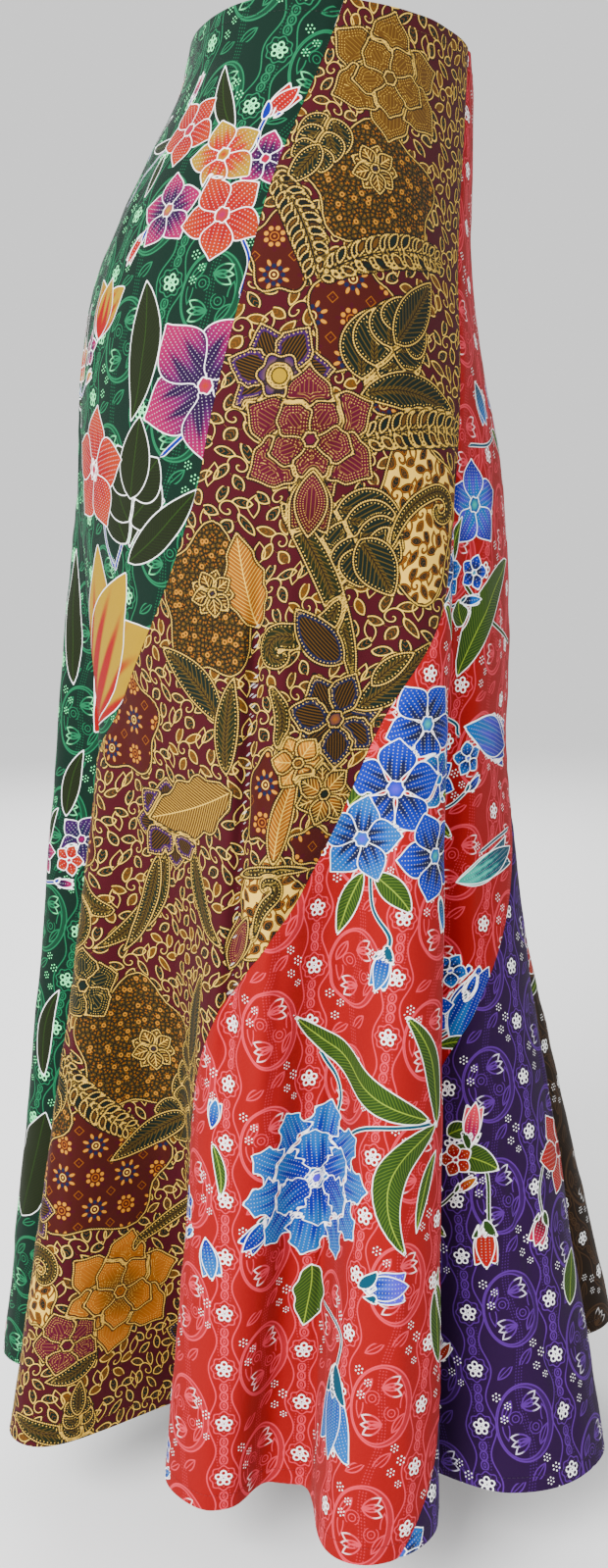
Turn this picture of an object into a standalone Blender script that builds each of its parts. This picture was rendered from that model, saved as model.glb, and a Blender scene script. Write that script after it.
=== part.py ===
"""Batik skirt: six panels that spiral down from a fitted waist to a fluted hem, filled out as when worn.

Metres, +Z up. The origin is the middle of the waist, where the wearer holds the skirt.
The front faces -Y and the wearer's right side faces -X. Angles are in degrees round the
axis, from 0 at the front through 90 at the wearer's right to 180 at the back.
"""

from typing import NamedTuple

import bpy
import numpy as np

LENGTH = 0.90
CLOTH = 0.0015
SEAM_GAP = 0.0003
WAIST_DIP = 0.003

FOLD_LINE_SPACING = 3.4
FOLD_LINE_TWIST = -10.0
PANEL_ROWS = 27
ROW_CROWDING = 0.90
EDGE_CLEARANCE = 0.45

FLUTE_ONSET = 0.06
FRONT_BACK_BLEND = 4.0
NORMAL_STEP_DEGREES = 0.2
NORMAL_STEP_HEIGHT = 0.0005


class Section(NamedTuple):
    """The smooth body's outline at one height, before the flutes are added."""

    height: float
    half_width: float
    front: float
    back: float
    squareness: float


class Flute(NamedTuple):
    """One fold of the flare. A negative depth is a valley that is pushed inward."""

    name: str
    crest: float
    before: float
    after: float
    depth: float
    start: float
    overhang: float
    drift: float
    ease: float


class SeamRow(NamedTuple):
    """Where the six seams pass one height, in degrees."""

    height: float
    purple_brown: float
    red_purple: float
    gold_red: float
    green_gold: float
    ochre_green: float
    brown_ochre: float


class Panel(NamedTuple):
    """One cut piece of cloth between two seams, with its ground colour."""

    name: str
    first_seam: str
    last_seam: str
    colour: tuple


SECTIONS = (
    Section(0.00, 0.122, 0.108, 0.073, 2.00),
    Section(-0.03, 0.127, 0.109, 0.081, 2.00),
    Section(-0.07, 0.140, 0.109, 0.101, 2.05),
    Section(-0.11, 0.155, 0.108, 0.121, 2.10),
    Section(-0.15, 0.166, 0.110, 0.137, 2.15),
    Section(-0.20, 0.173, 0.118, 0.146, 2.20),
    Section(-0.26, 0.176, 0.130, 0.149, 2.20),
    Section(-0.34, 0.175, 0.138, 0.147, 2.10),
    Section(-0.45, 0.171, 0.138, 0.140, 2.00),
    Section(-0.60, 0.167, 0.130, 0.131, 2.00),
    Section(-0.75, 0.165, 0.125, 0.124, 2.00),
    Section(-0.90, 0.165, 0.120, 0.118, 2.00),
)

FLUTES = (
    Flute("front", -14.0, 26.0, 18.0, 0.125, -0.44, 0.40, -4.0, 1.00),
    Flute("front_right", 34.0, 22.0, 44.0, 0.108, -0.42, 0.08, -12.0, 1.15),
    Flute("fore_valley", 62.0, 11.0, 9.0, -0.018, -0.20, 0.00, -14.0, 0.50),
    Flute("right_fore", 79.0, 17.0, 12.0, 0.080, -0.24, 0.50, -14.0, 1.10),
    Flute("right_aft", 110.0, 13.0, 20.0, 0.042, -0.30, 0.25, -20.0, 1.00),
    Flute("right_valley", 136.0, 16.0, 12.0, -0.032, -0.36, 0.00, -18.0, 1.00),
    Flute("back_right", 151.0, 13.0, 13.0, 0.101, -0.38, 0.45, -6.0, 1.00),
    Flute("back", 180.0, 15.0, 16.0, 0.106, -0.24, 0.45, -4.0, 1.00),
    Flute("back_left", 213.0, 15.0, 17.0, 0.100, -0.26, 0.40, -10.0, 1.10),
    Flute("left_aft", 247.0, 16.0, 17.0, 0.078, -0.36, 0.35, -10.0, 1.10),
    Flute("left_fore", 281.0, 17.0, 16.0, 0.072, -0.32, 0.40, -10.0, 1.10),
    Flute("front_left", 314.0, 15.0, 17.0, 0.095, -0.26, 0.40, -10.0, 1.10),
)

SEAMS = (
    SeamRow(0.00, -98.0, -45.0, 20.0, 79.0, 163.0, 212.0),
    SeamRow(-0.10, -93.0, -37.0, 38.0, 96.0, 166.0, 218.0),
    SeamRow(-0.17, -86.0, -30.0, 48.5, 102.0, 166.5, 224.0),
    SeamRow(-0.23, -78.0, -23.0, 53.0, 107.0, 168.0, 231.0),
    SeamRow(-0.28, -70.0, -16.0, 56.0, 111.0, 173.0, 238.0),
    SeamRow(-0.35, -57.0, -5.0, 63.5, 122.0, 184.0, 249.0),
    SeamRow(-0.41, -44.0, 6.0, 75.0, 138.0, 195.0, 258.0),
    SeamRow(-0.47, -27.0, 17.0, 83.5, 157.0, 205.0, 267.0),
    SeamRow(-0.54, -8.0, 33.0, 97.0, 163.0, 213.0, 276.0),
    SeamRow(-0.63, 3.0, 54.0, 113.0, 164.0, 220.0, 284.0),
    SeamRow(-0.75, 10.0, 63.0, 126.0, 165.0, 226.0, 292.0),
    SeamRow(-0.90, 17.0, 78.0, 135.0, 166.0, 232.0, 300.0),
)

PANELS = (
    Panel("panel_purple", "purple_brown", "red_purple", (0.05, 0.01, 0.12)),
    Panel("panel_red", "red_purple", "gold_red", (0.50, 0.02, 0.04)),
    Panel("panel_gold", "gold_red", "green_gold", (0.30, 0.14, 0.03)),
    Panel("panel_green", "green_gold", "ochre_green", (0.01, 0.08, 0.04)),
    Panel("panel_ochre", "ochre_green", "brown_ochre", (0.22, 0.10, 0.03)),
    Panel("panel_brown", "brown_ochre", "purple_brown", (0.06, 0.02, 0.01)),
)


def clear_scene():
    """Removes every object that the file opened with."""
    for old in list(bpy.data.objects):
        bpy.data.objects.remove(old)


def read_table(rows, column, height):
    """Reads one named column at any height, along a smooth curve through the rows."""
    heights = np.array([row.height for row in rows])[::-1]
    values = np.array([getattr(row, column) for row in rows])[::-1]
    slopes = np.gradient(values, heights)
    held = np.clip(height, heights[0], heights[-1])
    row = np.clip(np.searchsorted(heights, held, side="right") - 1, 0, len(heights) - 2)
    step = heights[row + 1] - heights[row]
    t = (held - heights[row]) / step
    from_value = (2 * t**3 - 3 * t**2 + 1) * values[row]
    from_slope = (t**3 - 2 * t**2 + t) * step * slopes[row]
    to_value = (3 * t**2 - 2 * t**3) * values[row + 1]
    to_slope = (t**3 - t**2) * step * slopes[row + 1]
    return from_value + from_slope + to_value + to_slope


def flute_growth(flute, height):
    """How far the flute has opened at a height: 0 at its start and 1 at the hem."""
    down = np.maximum(flute.start - height, 0.0) / (flute.start + LENGTH)
    soft = down**2 / (2 * FLUTE_ONSET)
    straight = down - FLUTE_ONSET / 2
    opened = np.where(down < FLUTE_ONSET, soft, straight) / (1 - FLUTE_ONSET / 2)
    return opened**flute.ease


def flute_offsets(angle, height):
    """The outward push in metres and the sideways swing in degrees that the flutes give."""
    push = np.zeros_like(angle)
    swing = np.zeros_like(angle)
    for flute in FLUTES:
        growth = flute_growth(flute, height)
        crest = flute.crest + flute.drift * (1 - np.clip(growth, 0, 1))
        away = (angle - crest + 180.0) % 360.0 - 180.0
        half_span = np.where(away < 0, flute.before, flute.after)
        across = np.clip(away / half_span, -1, 1)
        lobe = 0.5 + 0.5 * np.cos(np.pi * across)
        push += flute.depth * growth * lobe
        swing += flute.overhang * growth * half_span * np.sin(np.pi * across) * lobe
    return push, swing


def skirt_points(angle, height):
    """Points of the skirt's outer face, as an array whose last axis is x, y, z."""
    push, swing = flute_offsets(angle, height)
    turned = np.radians(angle + swing)
    sine = np.sin(turned)
    cosine = np.cos(turned)
    front_share = 0.5 + 0.5 * np.tanh(FRONT_BACK_BLEND * cosine)
    front = read_table(SECTIONS, "front", height)
    back = read_table(SECTIONS, "back", height)
    depth = back + (front - back) * front_share
    half_width = read_table(SECTIONS, "half_width", height)
    power = read_table(SECTIONS, "squareness", height)
    total = np.abs(sine / half_width) ** power + np.abs(cosine / depth) ** power
    radius = total ** (-1 / power) + push
    return np.stack([-radius * sine, -radius * cosine, height], axis=-1)


def skirt_normals(angle, height):
    """Unit vectors out of the cloth, the same on both sides of a seam."""
    ahead = skirt_points(angle + NORMAL_STEP_DEGREES, height)
    behind = skirt_points(angle - NORMAL_STEP_DEGREES, height)
    above = skirt_points(angle, height + NORMAL_STEP_HEIGHT)
    below = skirt_points(angle, height - NORMAL_STEP_HEIGHT)
    out = np.cross(above - below, ahead - behind)
    return out / np.linalg.norm(out, axis=-1, keepdims=True)


def waist_height(angle):
    """The waist edge, which dips a little toward the front."""
    return -WAIST_DIP * (1 + np.cos(np.radians(angle)))


def row_angles(panel, down):
    """Angles of a panel's points in one row: its two seams, and the fold lines between them."""
    level = -LENGTH * down
    first = float(read_table(SEAMS, panel.first_seam, level))
    last = float(read_table(SEAMS, panel.last_seam, level))
    if last < first:
        last += 360.0
    shift = FOLD_LINE_TWIST * (1 - down)
    room = FOLD_LINE_SPACING * EDGE_CLEARANCE
    lowest = np.ceil((first + room - shift) / FOLD_LINE_SPACING)
    highest = np.floor((last - room - shift) / FOLD_LINE_SPACING)
    lines = np.arange(lowest, highest + 1) * FOLD_LINE_SPACING + shift
    return np.concatenate([[first], lines, [last]])


def row_points(angle, down):
    """A row's points on the outer face and on the inner face of the cloth."""
    top = waist_height(angle)
    height = top + (-LENGTH - top) * down
    return skirt_points(angle, height), skirt_normals(angle, height)


def stitch(upper, lower, upper_points, lower_points):
    """Triangles that join two rows of points, always across the shorter diagonal."""
    faces = []
    i = 0
    j = 0
    while i < len(upper) - 1 or j < len(lower) - 1:
        along_upper = np.inf
        along_lower = np.inf
        if i < len(upper) - 1:
            along_upper = np.linalg.norm(upper_points[i + 1] - lower_points[j])
        if j < len(lower) - 1:
            along_lower = np.linalg.norm(upper_points[i] - lower_points[j + 1])
        if along_upper < along_lower:
            faces.append((upper[i], upper[i + 1], lower[j]))
            i += 1
        else:
            faces.append((upper[i], lower[j + 1], lower[j]))
            j += 1
    return faces


def rim_faces(edge, inner_offset, outward_on_left):
    """Triangles that close the wall along one edge, cut the same way on both sides of a seam."""
    faces = []
    for start, end in zip(edge[:-1], edge[1:]):
        pair = [(start, end, end + inner_offset), (start, end + inner_offset, start + inner_offset)]
        faces += [face[::-1] if outward_on_left else face for face in pair]
    return faces


def pull_in_from_seam(points, normals, edge, sign):
    """Moves a seam edge into its own panel by half a seam's gap, square to the seam."""
    run = np.gradient(points[edge], axis=0)
    side = np.cross(normals[edge], run)
    side /= np.linalg.norm(side, axis=1, keepdims=True)
    points[edge] += side * sign * SEAM_GAP / 2


def panel_wall(panel):
    """Points and triangles of a panel's closed wall."""
    rows = []
    points = []
    normals = []
    total = 0
    for down in np.linspace(0, 1, PANEL_ROWS) ** ROW_CROWDING:
        angle = row_angles(panel, down)
        outer, out = row_points(angle, down)
        rows.append(list(range(total, total + len(angle))))
        points.append(outer)
        normals.append(out)
        total += len(angle)
    faces = []
    for k in range(len(rows) - 1):
        faces += stitch(rows[k], rows[k + 1], points[k], points[k + 1])
    points = np.concatenate(points)
    normals = np.concatenate(normals)
    first_edge = [row[0] for row in rows]
    last_edge = [row[-1] for row in rows]
    pull_in_from_seam(points, normals, first_edge, -1)
    pull_in_from_seam(points, normals, last_edge, 1)
    faces += [tuple(corner + total for corner in face[::-1]) for face in faces]
    faces += rim_faces(rows[0], total, True)
    faces += rim_faces(rows[-1], total, False)
    faces += rim_faces(first_edge, total, False)
    faces += rim_faces(last_edge, total, True)
    return np.concatenate([points, points - CLOTH * normals]), faces


def cloth_material(panel):
    """A matt cotton in the panel's ground colour."""
    material = bpy.data.materials.new(panel.name)
    material.use_nodes = True
    shader = material.node_tree.nodes["Principled BSDF"]
    shader.inputs["Base Color"].default_value = (*panel.colour, 1.0)
    shader.inputs["Roughness"].default_value = 0.85
    shader.inputs["Metallic"].default_value = 0.0
    return material


def build_panel(panel):
    """Makes one panel as a closed wall of cloth."""
    points, faces = panel_wall(panel)
    mesh = bpy.data.meshes.new(panel.name)
    mesh.from_pydata(points.tolist(), [], faces)
    mesh.shade_smooth()
    mesh.set_sharp_from_angle(angle=np.radians(50))
    mesh.materials.append(cloth_material(panel))
    skirt_piece = bpy.data.objects.new(panel.name, mesh)
    bpy.context.scene.collection.objects.link(skirt_piece)


def main():
    """Builds the six panels of the skirt."""
    clear_scene()
    for panel in PANELS:
        build_panel(panel)


main()
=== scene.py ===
"""Batik skirt, dressed: printed cotton panels, turned edges, stitches and seam allowances.

Metres, +Z up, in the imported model's frame. The waist is at the origin, the front faces -Y
and the wearer's right side faces -X, where the photograph was taken from. Angles are in
degrees round the axis: 0 at the front, 90 at the wearer's right, 180 at the back.
"""

import logging
from dataclasses import dataclass, field
from enum import Enum, IntEnum
from functools import partial, reduce
from typing import Callable, NamedTuple, Optional, Union

import bpy
import numpy as np
from mathutils import Matrix, Vector


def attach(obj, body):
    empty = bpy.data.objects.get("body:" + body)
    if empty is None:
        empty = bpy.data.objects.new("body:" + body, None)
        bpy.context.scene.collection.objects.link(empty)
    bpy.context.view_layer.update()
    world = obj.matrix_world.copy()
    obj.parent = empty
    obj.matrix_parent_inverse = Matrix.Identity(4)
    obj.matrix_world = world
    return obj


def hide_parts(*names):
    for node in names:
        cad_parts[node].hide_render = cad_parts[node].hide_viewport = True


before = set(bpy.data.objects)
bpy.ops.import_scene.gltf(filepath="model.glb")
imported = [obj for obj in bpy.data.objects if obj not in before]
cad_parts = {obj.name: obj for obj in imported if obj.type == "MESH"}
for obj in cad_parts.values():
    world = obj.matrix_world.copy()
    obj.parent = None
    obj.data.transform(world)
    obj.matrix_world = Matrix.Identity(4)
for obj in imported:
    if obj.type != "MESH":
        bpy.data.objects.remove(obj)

log = logging.getLogger("batik_skirt")
Socket = bpy.types.NodeSocket

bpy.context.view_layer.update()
LENGTH = 0.90
WAIST_DIP = 0.003
MILLIMETRES = 1000.0
SHARP_ANGLE = np.radians(60)
WRONG_SIDE_PALE = 0.28
WEAVE_STRENGTH = 0.35
WEAVE_HEIGHT = 0.00004
DARKEST, LIGHTEST = 0.0004, 0.9
STUDIO_LIGHT = 4.8
CROSSTALK = 0.05
VIVID_LIGHT = 1.0
PALE_LIGHT = 4.8
PICTURE_TONES = (
    (2, 0.0018), (8, 0.0045), (20, 0.011), (39, 0.027), (69, 0.066),
    (112, 0.163), (160, 0.4), (196, 0.98), (222, 2.41), (240, 5.93),
)


class Section(NamedTuple):
    """The smooth body's outline at one height, before the flutes are added."""

    height: float
    half_width: float
    front: float
    back: float
    squareness: float


class Flute(NamedTuple):
    """One fold of the flare. A negative depth is a valley that is pushed inward."""

    crest: float
    before: float
    after: float
    depth: float
    start: float
    overhang: float
    drift: float
    ease: float


class SeamRow(NamedTuple):
    """Where the six seams pass one height, in degrees."""

    height: float
    purple_brown: float
    red_purple: float
    gold_red: float
    green_gold: float
    ochre_green: float
    brown_ochre: float


class Crease(NamedTuple):
    """A soft trough (negative depth) or ridge that the cloth has between two heights."""

    top_angle: float
    top: float
    low_angle: float
    low: float
    half_span: float
    depth: float


SECTIONS = (
    Section(0.00, 0.122, 0.108, 0.073, 2.00),
    Section(-0.03, 0.127, 0.109, 0.081, 2.00),
    Section(-0.07, 0.140, 0.109, 0.101, 2.05),
    Section(-0.11, 0.155, 0.108, 0.121, 2.10),
    Section(-0.15, 0.166, 0.110, 0.137, 2.15),
    Section(-0.20, 0.173, 0.118, 0.146, 2.20),
    Section(-0.26, 0.176, 0.130, 0.149, 2.20),
    Section(-0.34, 0.175, 0.138, 0.147, 2.10),
    Section(-0.45, 0.171, 0.138, 0.140, 2.00),
    Section(-0.60, 0.167, 0.130, 0.131, 2.00),
    Section(-0.75, 0.165, 0.125, 0.124, 2.00),
    Section(-0.90, 0.165, 0.120, 0.118, 2.00),
)

FLUTES = (
    Flute(-14.0, 26.0, 18.0, 0.125, -0.44, 0.40, -4.0, 1.00),  # front
    Flute(34.0, 22.0, 44.0, 0.108, -0.42, 0.08, -12.0, 1.15),  # front right
    Flute(62.0, 11.0, 9.0, -0.018, -0.20, 0.00, -14.0, 0.50),  # fore valley
    Flute(79.0, 17.0, 12.0, 0.080, -0.24, 0.50, -14.0, 1.10),  # right fore
    Flute(110.0, 13.0, 20.0, 0.042, -0.30, 0.25, -20.0, 1.00),  # right aft
    Flute(136.0, 16.0, 12.0, -0.032, -0.36, 0.00, -18.0, 1.00),  # right valley
    Flute(151.0, 13.0, 13.0, 0.101, -0.38, 0.45, -6.0, 1.00),  # back right
    Flute(180.0, 15.0, 16.0, 0.106, -0.24, 0.45, -4.0, 1.00),  # back
    Flute(213.0, 15.0, 17.0, 0.100, -0.26, 0.40, -10.0, 1.10),  # back left
    Flute(247.0, 16.0, 17.0, 0.078, -0.36, 0.35, -10.0, 1.10),  # left aft
    Flute(281.0, 17.0, 16.0, 0.072, -0.32, 0.40, -10.0, 1.10),  # left fore
    Flute(314.0, 15.0, 17.0, 0.095, -0.26, 0.40, -10.0, 1.10),  # front left
)

SEAMS = (
    SeamRow(0.00, -98.0, -45.0, 20.0, 79.0, 163.0, 212.0),
    SeamRow(-0.10, -93.0, -37.0, 38.0, 96.0, 166.0, 218.0),
    SeamRow(-0.17, -86.0, -30.0, 48.5, 102.0, 166.5, 224.0),
    SeamRow(-0.23, -78.0, -23.0, 53.0, 107.0, 168.0, 231.0),
    SeamRow(-0.28, -70.0, -16.0, 56.0, 111.0, 173.0, 238.0),
    SeamRow(-0.35, -57.0, -5.0, 63.5, 122.0, 184.0, 249.0),
    SeamRow(-0.41, -44.0, 6.0, 75.0, 138.0, 195.0, 258.0),
    SeamRow(-0.47, -27.0, 17.0, 83.5, 157.0, 205.0, 267.0),
    SeamRow(-0.54, -8.0, 33.0, 97.0, 163.0, 213.0, 276.0),
    SeamRow(-0.63, 3.0, 54.0, 113.0, 164.0, 220.0, 284.0),
    SeamRow(-0.75, 10.0, 63.0, 126.0, 165.0, 226.0, 292.0),
    SeamRow(-0.90, 17.0, 78.0, 135.0, 166.0, 232.0, 300.0),
)

CREASES = (
    Crease(97.0, -0.27, 104.0, -0.62, 2.8, -0.0078),
    Crease(91.5, -0.28, 99.0, -0.64, 2.4, 0.0036),
    Crease(55.0, -0.17, 60.0, -0.80, 1.8, -0.0030),
    Crease(158.0, -0.17, 164.0, -0.48, 2.4, -0.0032),
    Crease(84.0, -0.60, 88.0, -0.90, 1.8, -0.0034),
    Crease(74.0, -0.62, 77.0, -0.88, 1.4, 0.0014),
    Crease(103.0, -0.66, 107.0, -0.90, 1.8, -0.0015),
    Crease(118.0, -0.10, 112.0, -0.30, 5.0, -0.0012),
    Crease(70.0, -0.12, 76.0, -0.34, 5.0, 0.0011),
    Crease(140.0, -0.06, 146.0, -0.22, 4.0, 0.0010),
    Crease(44.0, -0.66, 40.0, -0.88, 2.0, -0.0020),
    Crease(28.0, -0.60, 25.0, -0.86, 1.8, 0.0014),
    Crease(147.0, -0.56, 147.0, -0.88, 1.6, -0.0016),
    Crease(14.0, -0.20, 10.0, -0.55, 2.6, -0.0028),
    Crease(-28.0, -0.18, -34.0, -0.50, 2.8, -0.0026),
    Crease(-60.0, -0.22, -66.0, -0.56, 2.4, -0.0030),
    Crease(203.0, -0.20, 197.0, -0.55, 2.6, -0.0028),
    Crease(236.0, -0.24, 230.0, -0.62, 2.6, -0.0030),
    Crease(262.0, -0.30, 258.0, -0.66, 2.2, -0.0024),
    Crease(296.0, -0.20, 290.0, -0.58, 2.6, -0.0028),
    Crease(250.0, -0.66, 246.0, -0.89, 1.8, 0.0014),
    Crease(215.0, -0.62, 211.0, -0.88, 1.8, -0.0016),
    Crease(318.0, -0.64, 314.0, -0.88, 1.8, -0.0018),
)


def smooth(values: np.ndarray) -> np.ndarray:
    """A soft step from 0 to 1 of values clipped to that range."""
    held = np.clip(values, 0.0, 1.0)
    return held * held * (3.0 - 2.0 * held)


def hermite(knots: np.ndarray, values: np.ndarray, at: np.ndarray) -> np.ndarray:
    """Reads a smooth curve through rows of values.

    Args:
        knots: where the rows stand, rising.
        values: one row for each knot.
        at: where the curve is read.

    Returns:
        The curve's value at each place.
    """
    slopes = np.gradient(values, knots, axis=0)
    held = np.clip(at, knots[0], knots[-1])
    row = np.clip(np.searchsorted(knots, held, side="right") - 1, 0, len(knots) - 2)
    step = knots[row + 1] - knots[row]
    t = (held - knots[row]) / step
    if values.ndim > 1:
        step, t = step[:, None], t[:, None]
    from_value = (2 * t**3 - 3 * t**2 + 1) * values[row]
    from_slope = (t**3 - 2 * t**2 + t) * step * slopes[row]
    to_value = (3 * t**2 - 2 * t**3) * values[row + 1]
    to_slope = (t**3 - t**2) * step * slopes[row + 1]
    return from_value + from_slope + to_value + to_slope


def read_table(rows: tuple, column: str, height: np.ndarray) -> np.ndarray:
    """Reads one named column of a table, which runs from the top down, at any height.

    Args:
        rows: the table, from the top down.
        column: the column's name.
        height: the heights, in metres.

    Returns:
        The column's value at each height.
    """
    heights = np.array([row.height for row in rows])[::-1]
    values = np.array([getattr(row, column) for row in rows])[::-1]
    return hermite(heights, values, height)


def along_rows(points: np.ndarray) -> np.ndarray:
    """Each point's distance along its row from the row's first point."""
    steps = np.linalg.norm(np.diff(points, axis=1), axis=2)
    return np.pad(np.cumsum(steps, axis=1), ((0, 0), (1, 0)))


def border(grid: np.ndarray) -> np.ndarray:
    """A grid's outermost entries, in order round it."""
    return np.concatenate([grid[0], grid[1:, -1], grid[-1, -2::-1], grid[-2:0:-1, 0]])


def grid_faces(index: np.ndarray, order: tuple = (0, 1, 2, 3)) -> list:
    """The quads over a grid of point numbers, with their corners in the given order."""
    corners = (index[:-1, :-1], index[:-1, 1:], index[1:, 1:], index[1:, :-1])
    return np.stack([corners[k] for k in order], -1).reshape(-1, 4).tolist()


def store(mesh: bpy.types.Mesh, name: str, values: np.ndarray) -> None:
    """Writes one attribute on the mesh's points: numbers, places, or colours with a fourth value.

    Args:
        mesh: the mesh.
        name: the attribute's name.
        values: one value or one row for each point.
    """
    wide = 1 if values.ndim == 1 else values.shape[1]
    kinds = {1: ("FLOAT", "value"), 3: ("FLOAT_VECTOR", "vector"), 4: ("FLOAT_COLOR", "color")}
    kind, key = kinds[wide]
    attribute = mesh.attributes.new(name, kind, "POINT")
    attribute.data.foreach_set(key, values.astype(np.float32).ravel())


def linked(name: str, data: bpy.types.ID) -> bpy.types.Object:
    """Makes an object and puts it in the scene.

    Args:
        name: the object's name.
        data: its mesh, lamp or camera data.

    Returns:
        The object.
    """
    made = bpy.data.objects.new(name, data)
    bpy.context.scene.collection.objects.link(made)
    return made


def soft_noise(places: np.ndarray, cell: float, seed: int) -> np.ndarray:
    """Smooth random values from -1 to 1.

    Args:
        places: points of the plane, one a row.
        cell: the size of one bump, in the places' unit.
        seed: the seed of the random lattice.

    Returns:
        One value for each place.
    """
    lattice = np.random.default_rng(seed).uniform(-1, 1, (64, 64))
    where = places / cell + 32.0
    corner = np.floor(where).astype(int)
    share = smooth(where - corner)
    x, y = corner[:, 0], corner[:, 1]
    right, up = share.T
    left, beside, above = x % 64, (x + 1) % 64, (y + 1) % 64
    low = lattice[y % 64, left] * (1 - right) + lattice[y % 64, beside] * right
    high = lattice[above, left] * (1 - right) + lattice[above, beside] * right
    return low * (1 - up) + high * up


@dataclass
class SkirtForm:
    """The hanging form of the whole skirt, from which every panel is taken."""

    onset: float = 0.06
    front_back_blend: float = 4.0
    turn_step: float = 0.15
    height_step: float = 0.0004
    crease_fade_in: float = 3.0
    crease_fade_out: float = 4.0
    crease_overrun: float = 1.12

    def flute_growth(self, flute: Flute, height: np.ndarray) -> np.ndarray:
        """How far a flute has opened at a height: 0 at its start and 1 at the hem.

        Args:
            flute: the flute.
            height: metres, 0 at the waist and -LENGTH at the hem.

        Returns:
            The share at each height.
        """
        down = np.maximum(flute.start - height, 0.0) / (flute.start + LENGTH)
        soft = down**2 / (2 * self.onset)
        straight = down - self.onset / 2
        opened = np.where(down < self.onset, soft, straight) / (1 - self.onset / 2)
        return opened**flute.ease

    def crease_push(self, angle: np.ndarray, height: np.ndarray) -> np.ndarray:
        """The small push of the listed creases, in metres.

        Args:
            angle: degrees round the axis.
            height: metres, 0 at the waist and -LENGTH at the hem.

        Returns:
            The push at each place, outward.
        """
        push = np.zeros_like(angle)
        for crease in CREASES:
            along = (crease.top - height) / (crease.top - crease.low)
            middle = crease.top_angle + (crease.low_angle - crease.top_angle) * along
            away = (angle - middle + 180.0) % 360.0 - 180.0
            across = np.clip(away / crease.half_span, -1, 1)
            fade_in = smooth(along * self.crease_fade_in)
            fade_out = smooth((self.crease_overrun - along) * self.crease_fade_out)
            push += crease.depth * (0.5 + 0.5 * np.cos(np.pi * across)) * fade_in * fade_out
        return push

    def points(self, angle: np.ndarray, height: np.ndarray) -> np.ndarray:
        """Points of the skirt's outer face.

        Args:
            angle: degrees round the axis.
            height: metres, 0 at the waist and -LENGTH at the hem.

        Returns:
            An array whose last axis is x, y, z.
        """
        angle, height = np.broadcast_arrays(angle, height)
        push = self.crease_push(angle, height)
        swing = np.zeros_like(push)
        for flute in FLUTES:
            growth = self.flute_growth(flute, height)
            crest = flute.crest + flute.drift * (1 - np.clip(growth, 0, 1))
            away = (angle - crest + 180.0) % 360.0 - 180.0
            half_span = np.where(away < 0, flute.before, flute.after)
            across = np.clip(away / half_span, -1, 1)
            lobe = 0.5 + 0.5 * np.cos(np.pi * across)
            push = push + flute.depth * growth * lobe
            swing = swing + flute.overhang * growth * half_span * np.sin(np.pi * across) * lobe
        bearing = np.radians(angle + swing)
        sine, cosine = np.sin(bearing), np.cos(bearing)
        front_share = 0.5 + 0.5 * np.tanh(self.front_back_blend * cosine)
        front = read_table(SECTIONS, "front", height)
        back = read_table(SECTIONS, "back", height)
        depth = back + (front - back) * front_share
        half_width = read_table(SECTIONS, "half_width", height)
        power = read_table(SECTIONS, "squareness", height)
        total = np.abs(sine / half_width) ** power + np.abs(cosine / depth) ** power
        radius = total ** (-1 / power) + push
        return np.stack([-radius * sine, -radius * cosine, height], axis=-1)

    def normals(self, angle: np.ndarray, height: np.ndarray) -> np.ndarray:
        """Unit vectors out of the cloth at the given angles and heights.

        Args:
            angle: degrees round the axis.
            height: metres, 0 at the waist and -LENGTH at the hem.

        Returns:
            One vector for each place.
        """
        ahead = self.points(angle + self.turn_step, height)
        behind = self.points(angle - self.turn_step, height)
        above = self.points(angle, height + self.height_step)
        below = self.points(angle, height - self.height_step)
        out = np.cross(above - below, ahead - behind)
        return out / np.linalg.norm(out, axis=-1, keepdims=True)

    @staticmethod
    def heights(angle: np.ndarray, down: np.ndarray) -> np.ndarray:
        """Heights at a share of the way down from the waist edge, which dips toward the front."""
        top = -WAIST_DIP * (1 + np.cos(np.radians(angle)))
        return top + (-LENGTH - top) * down


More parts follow.
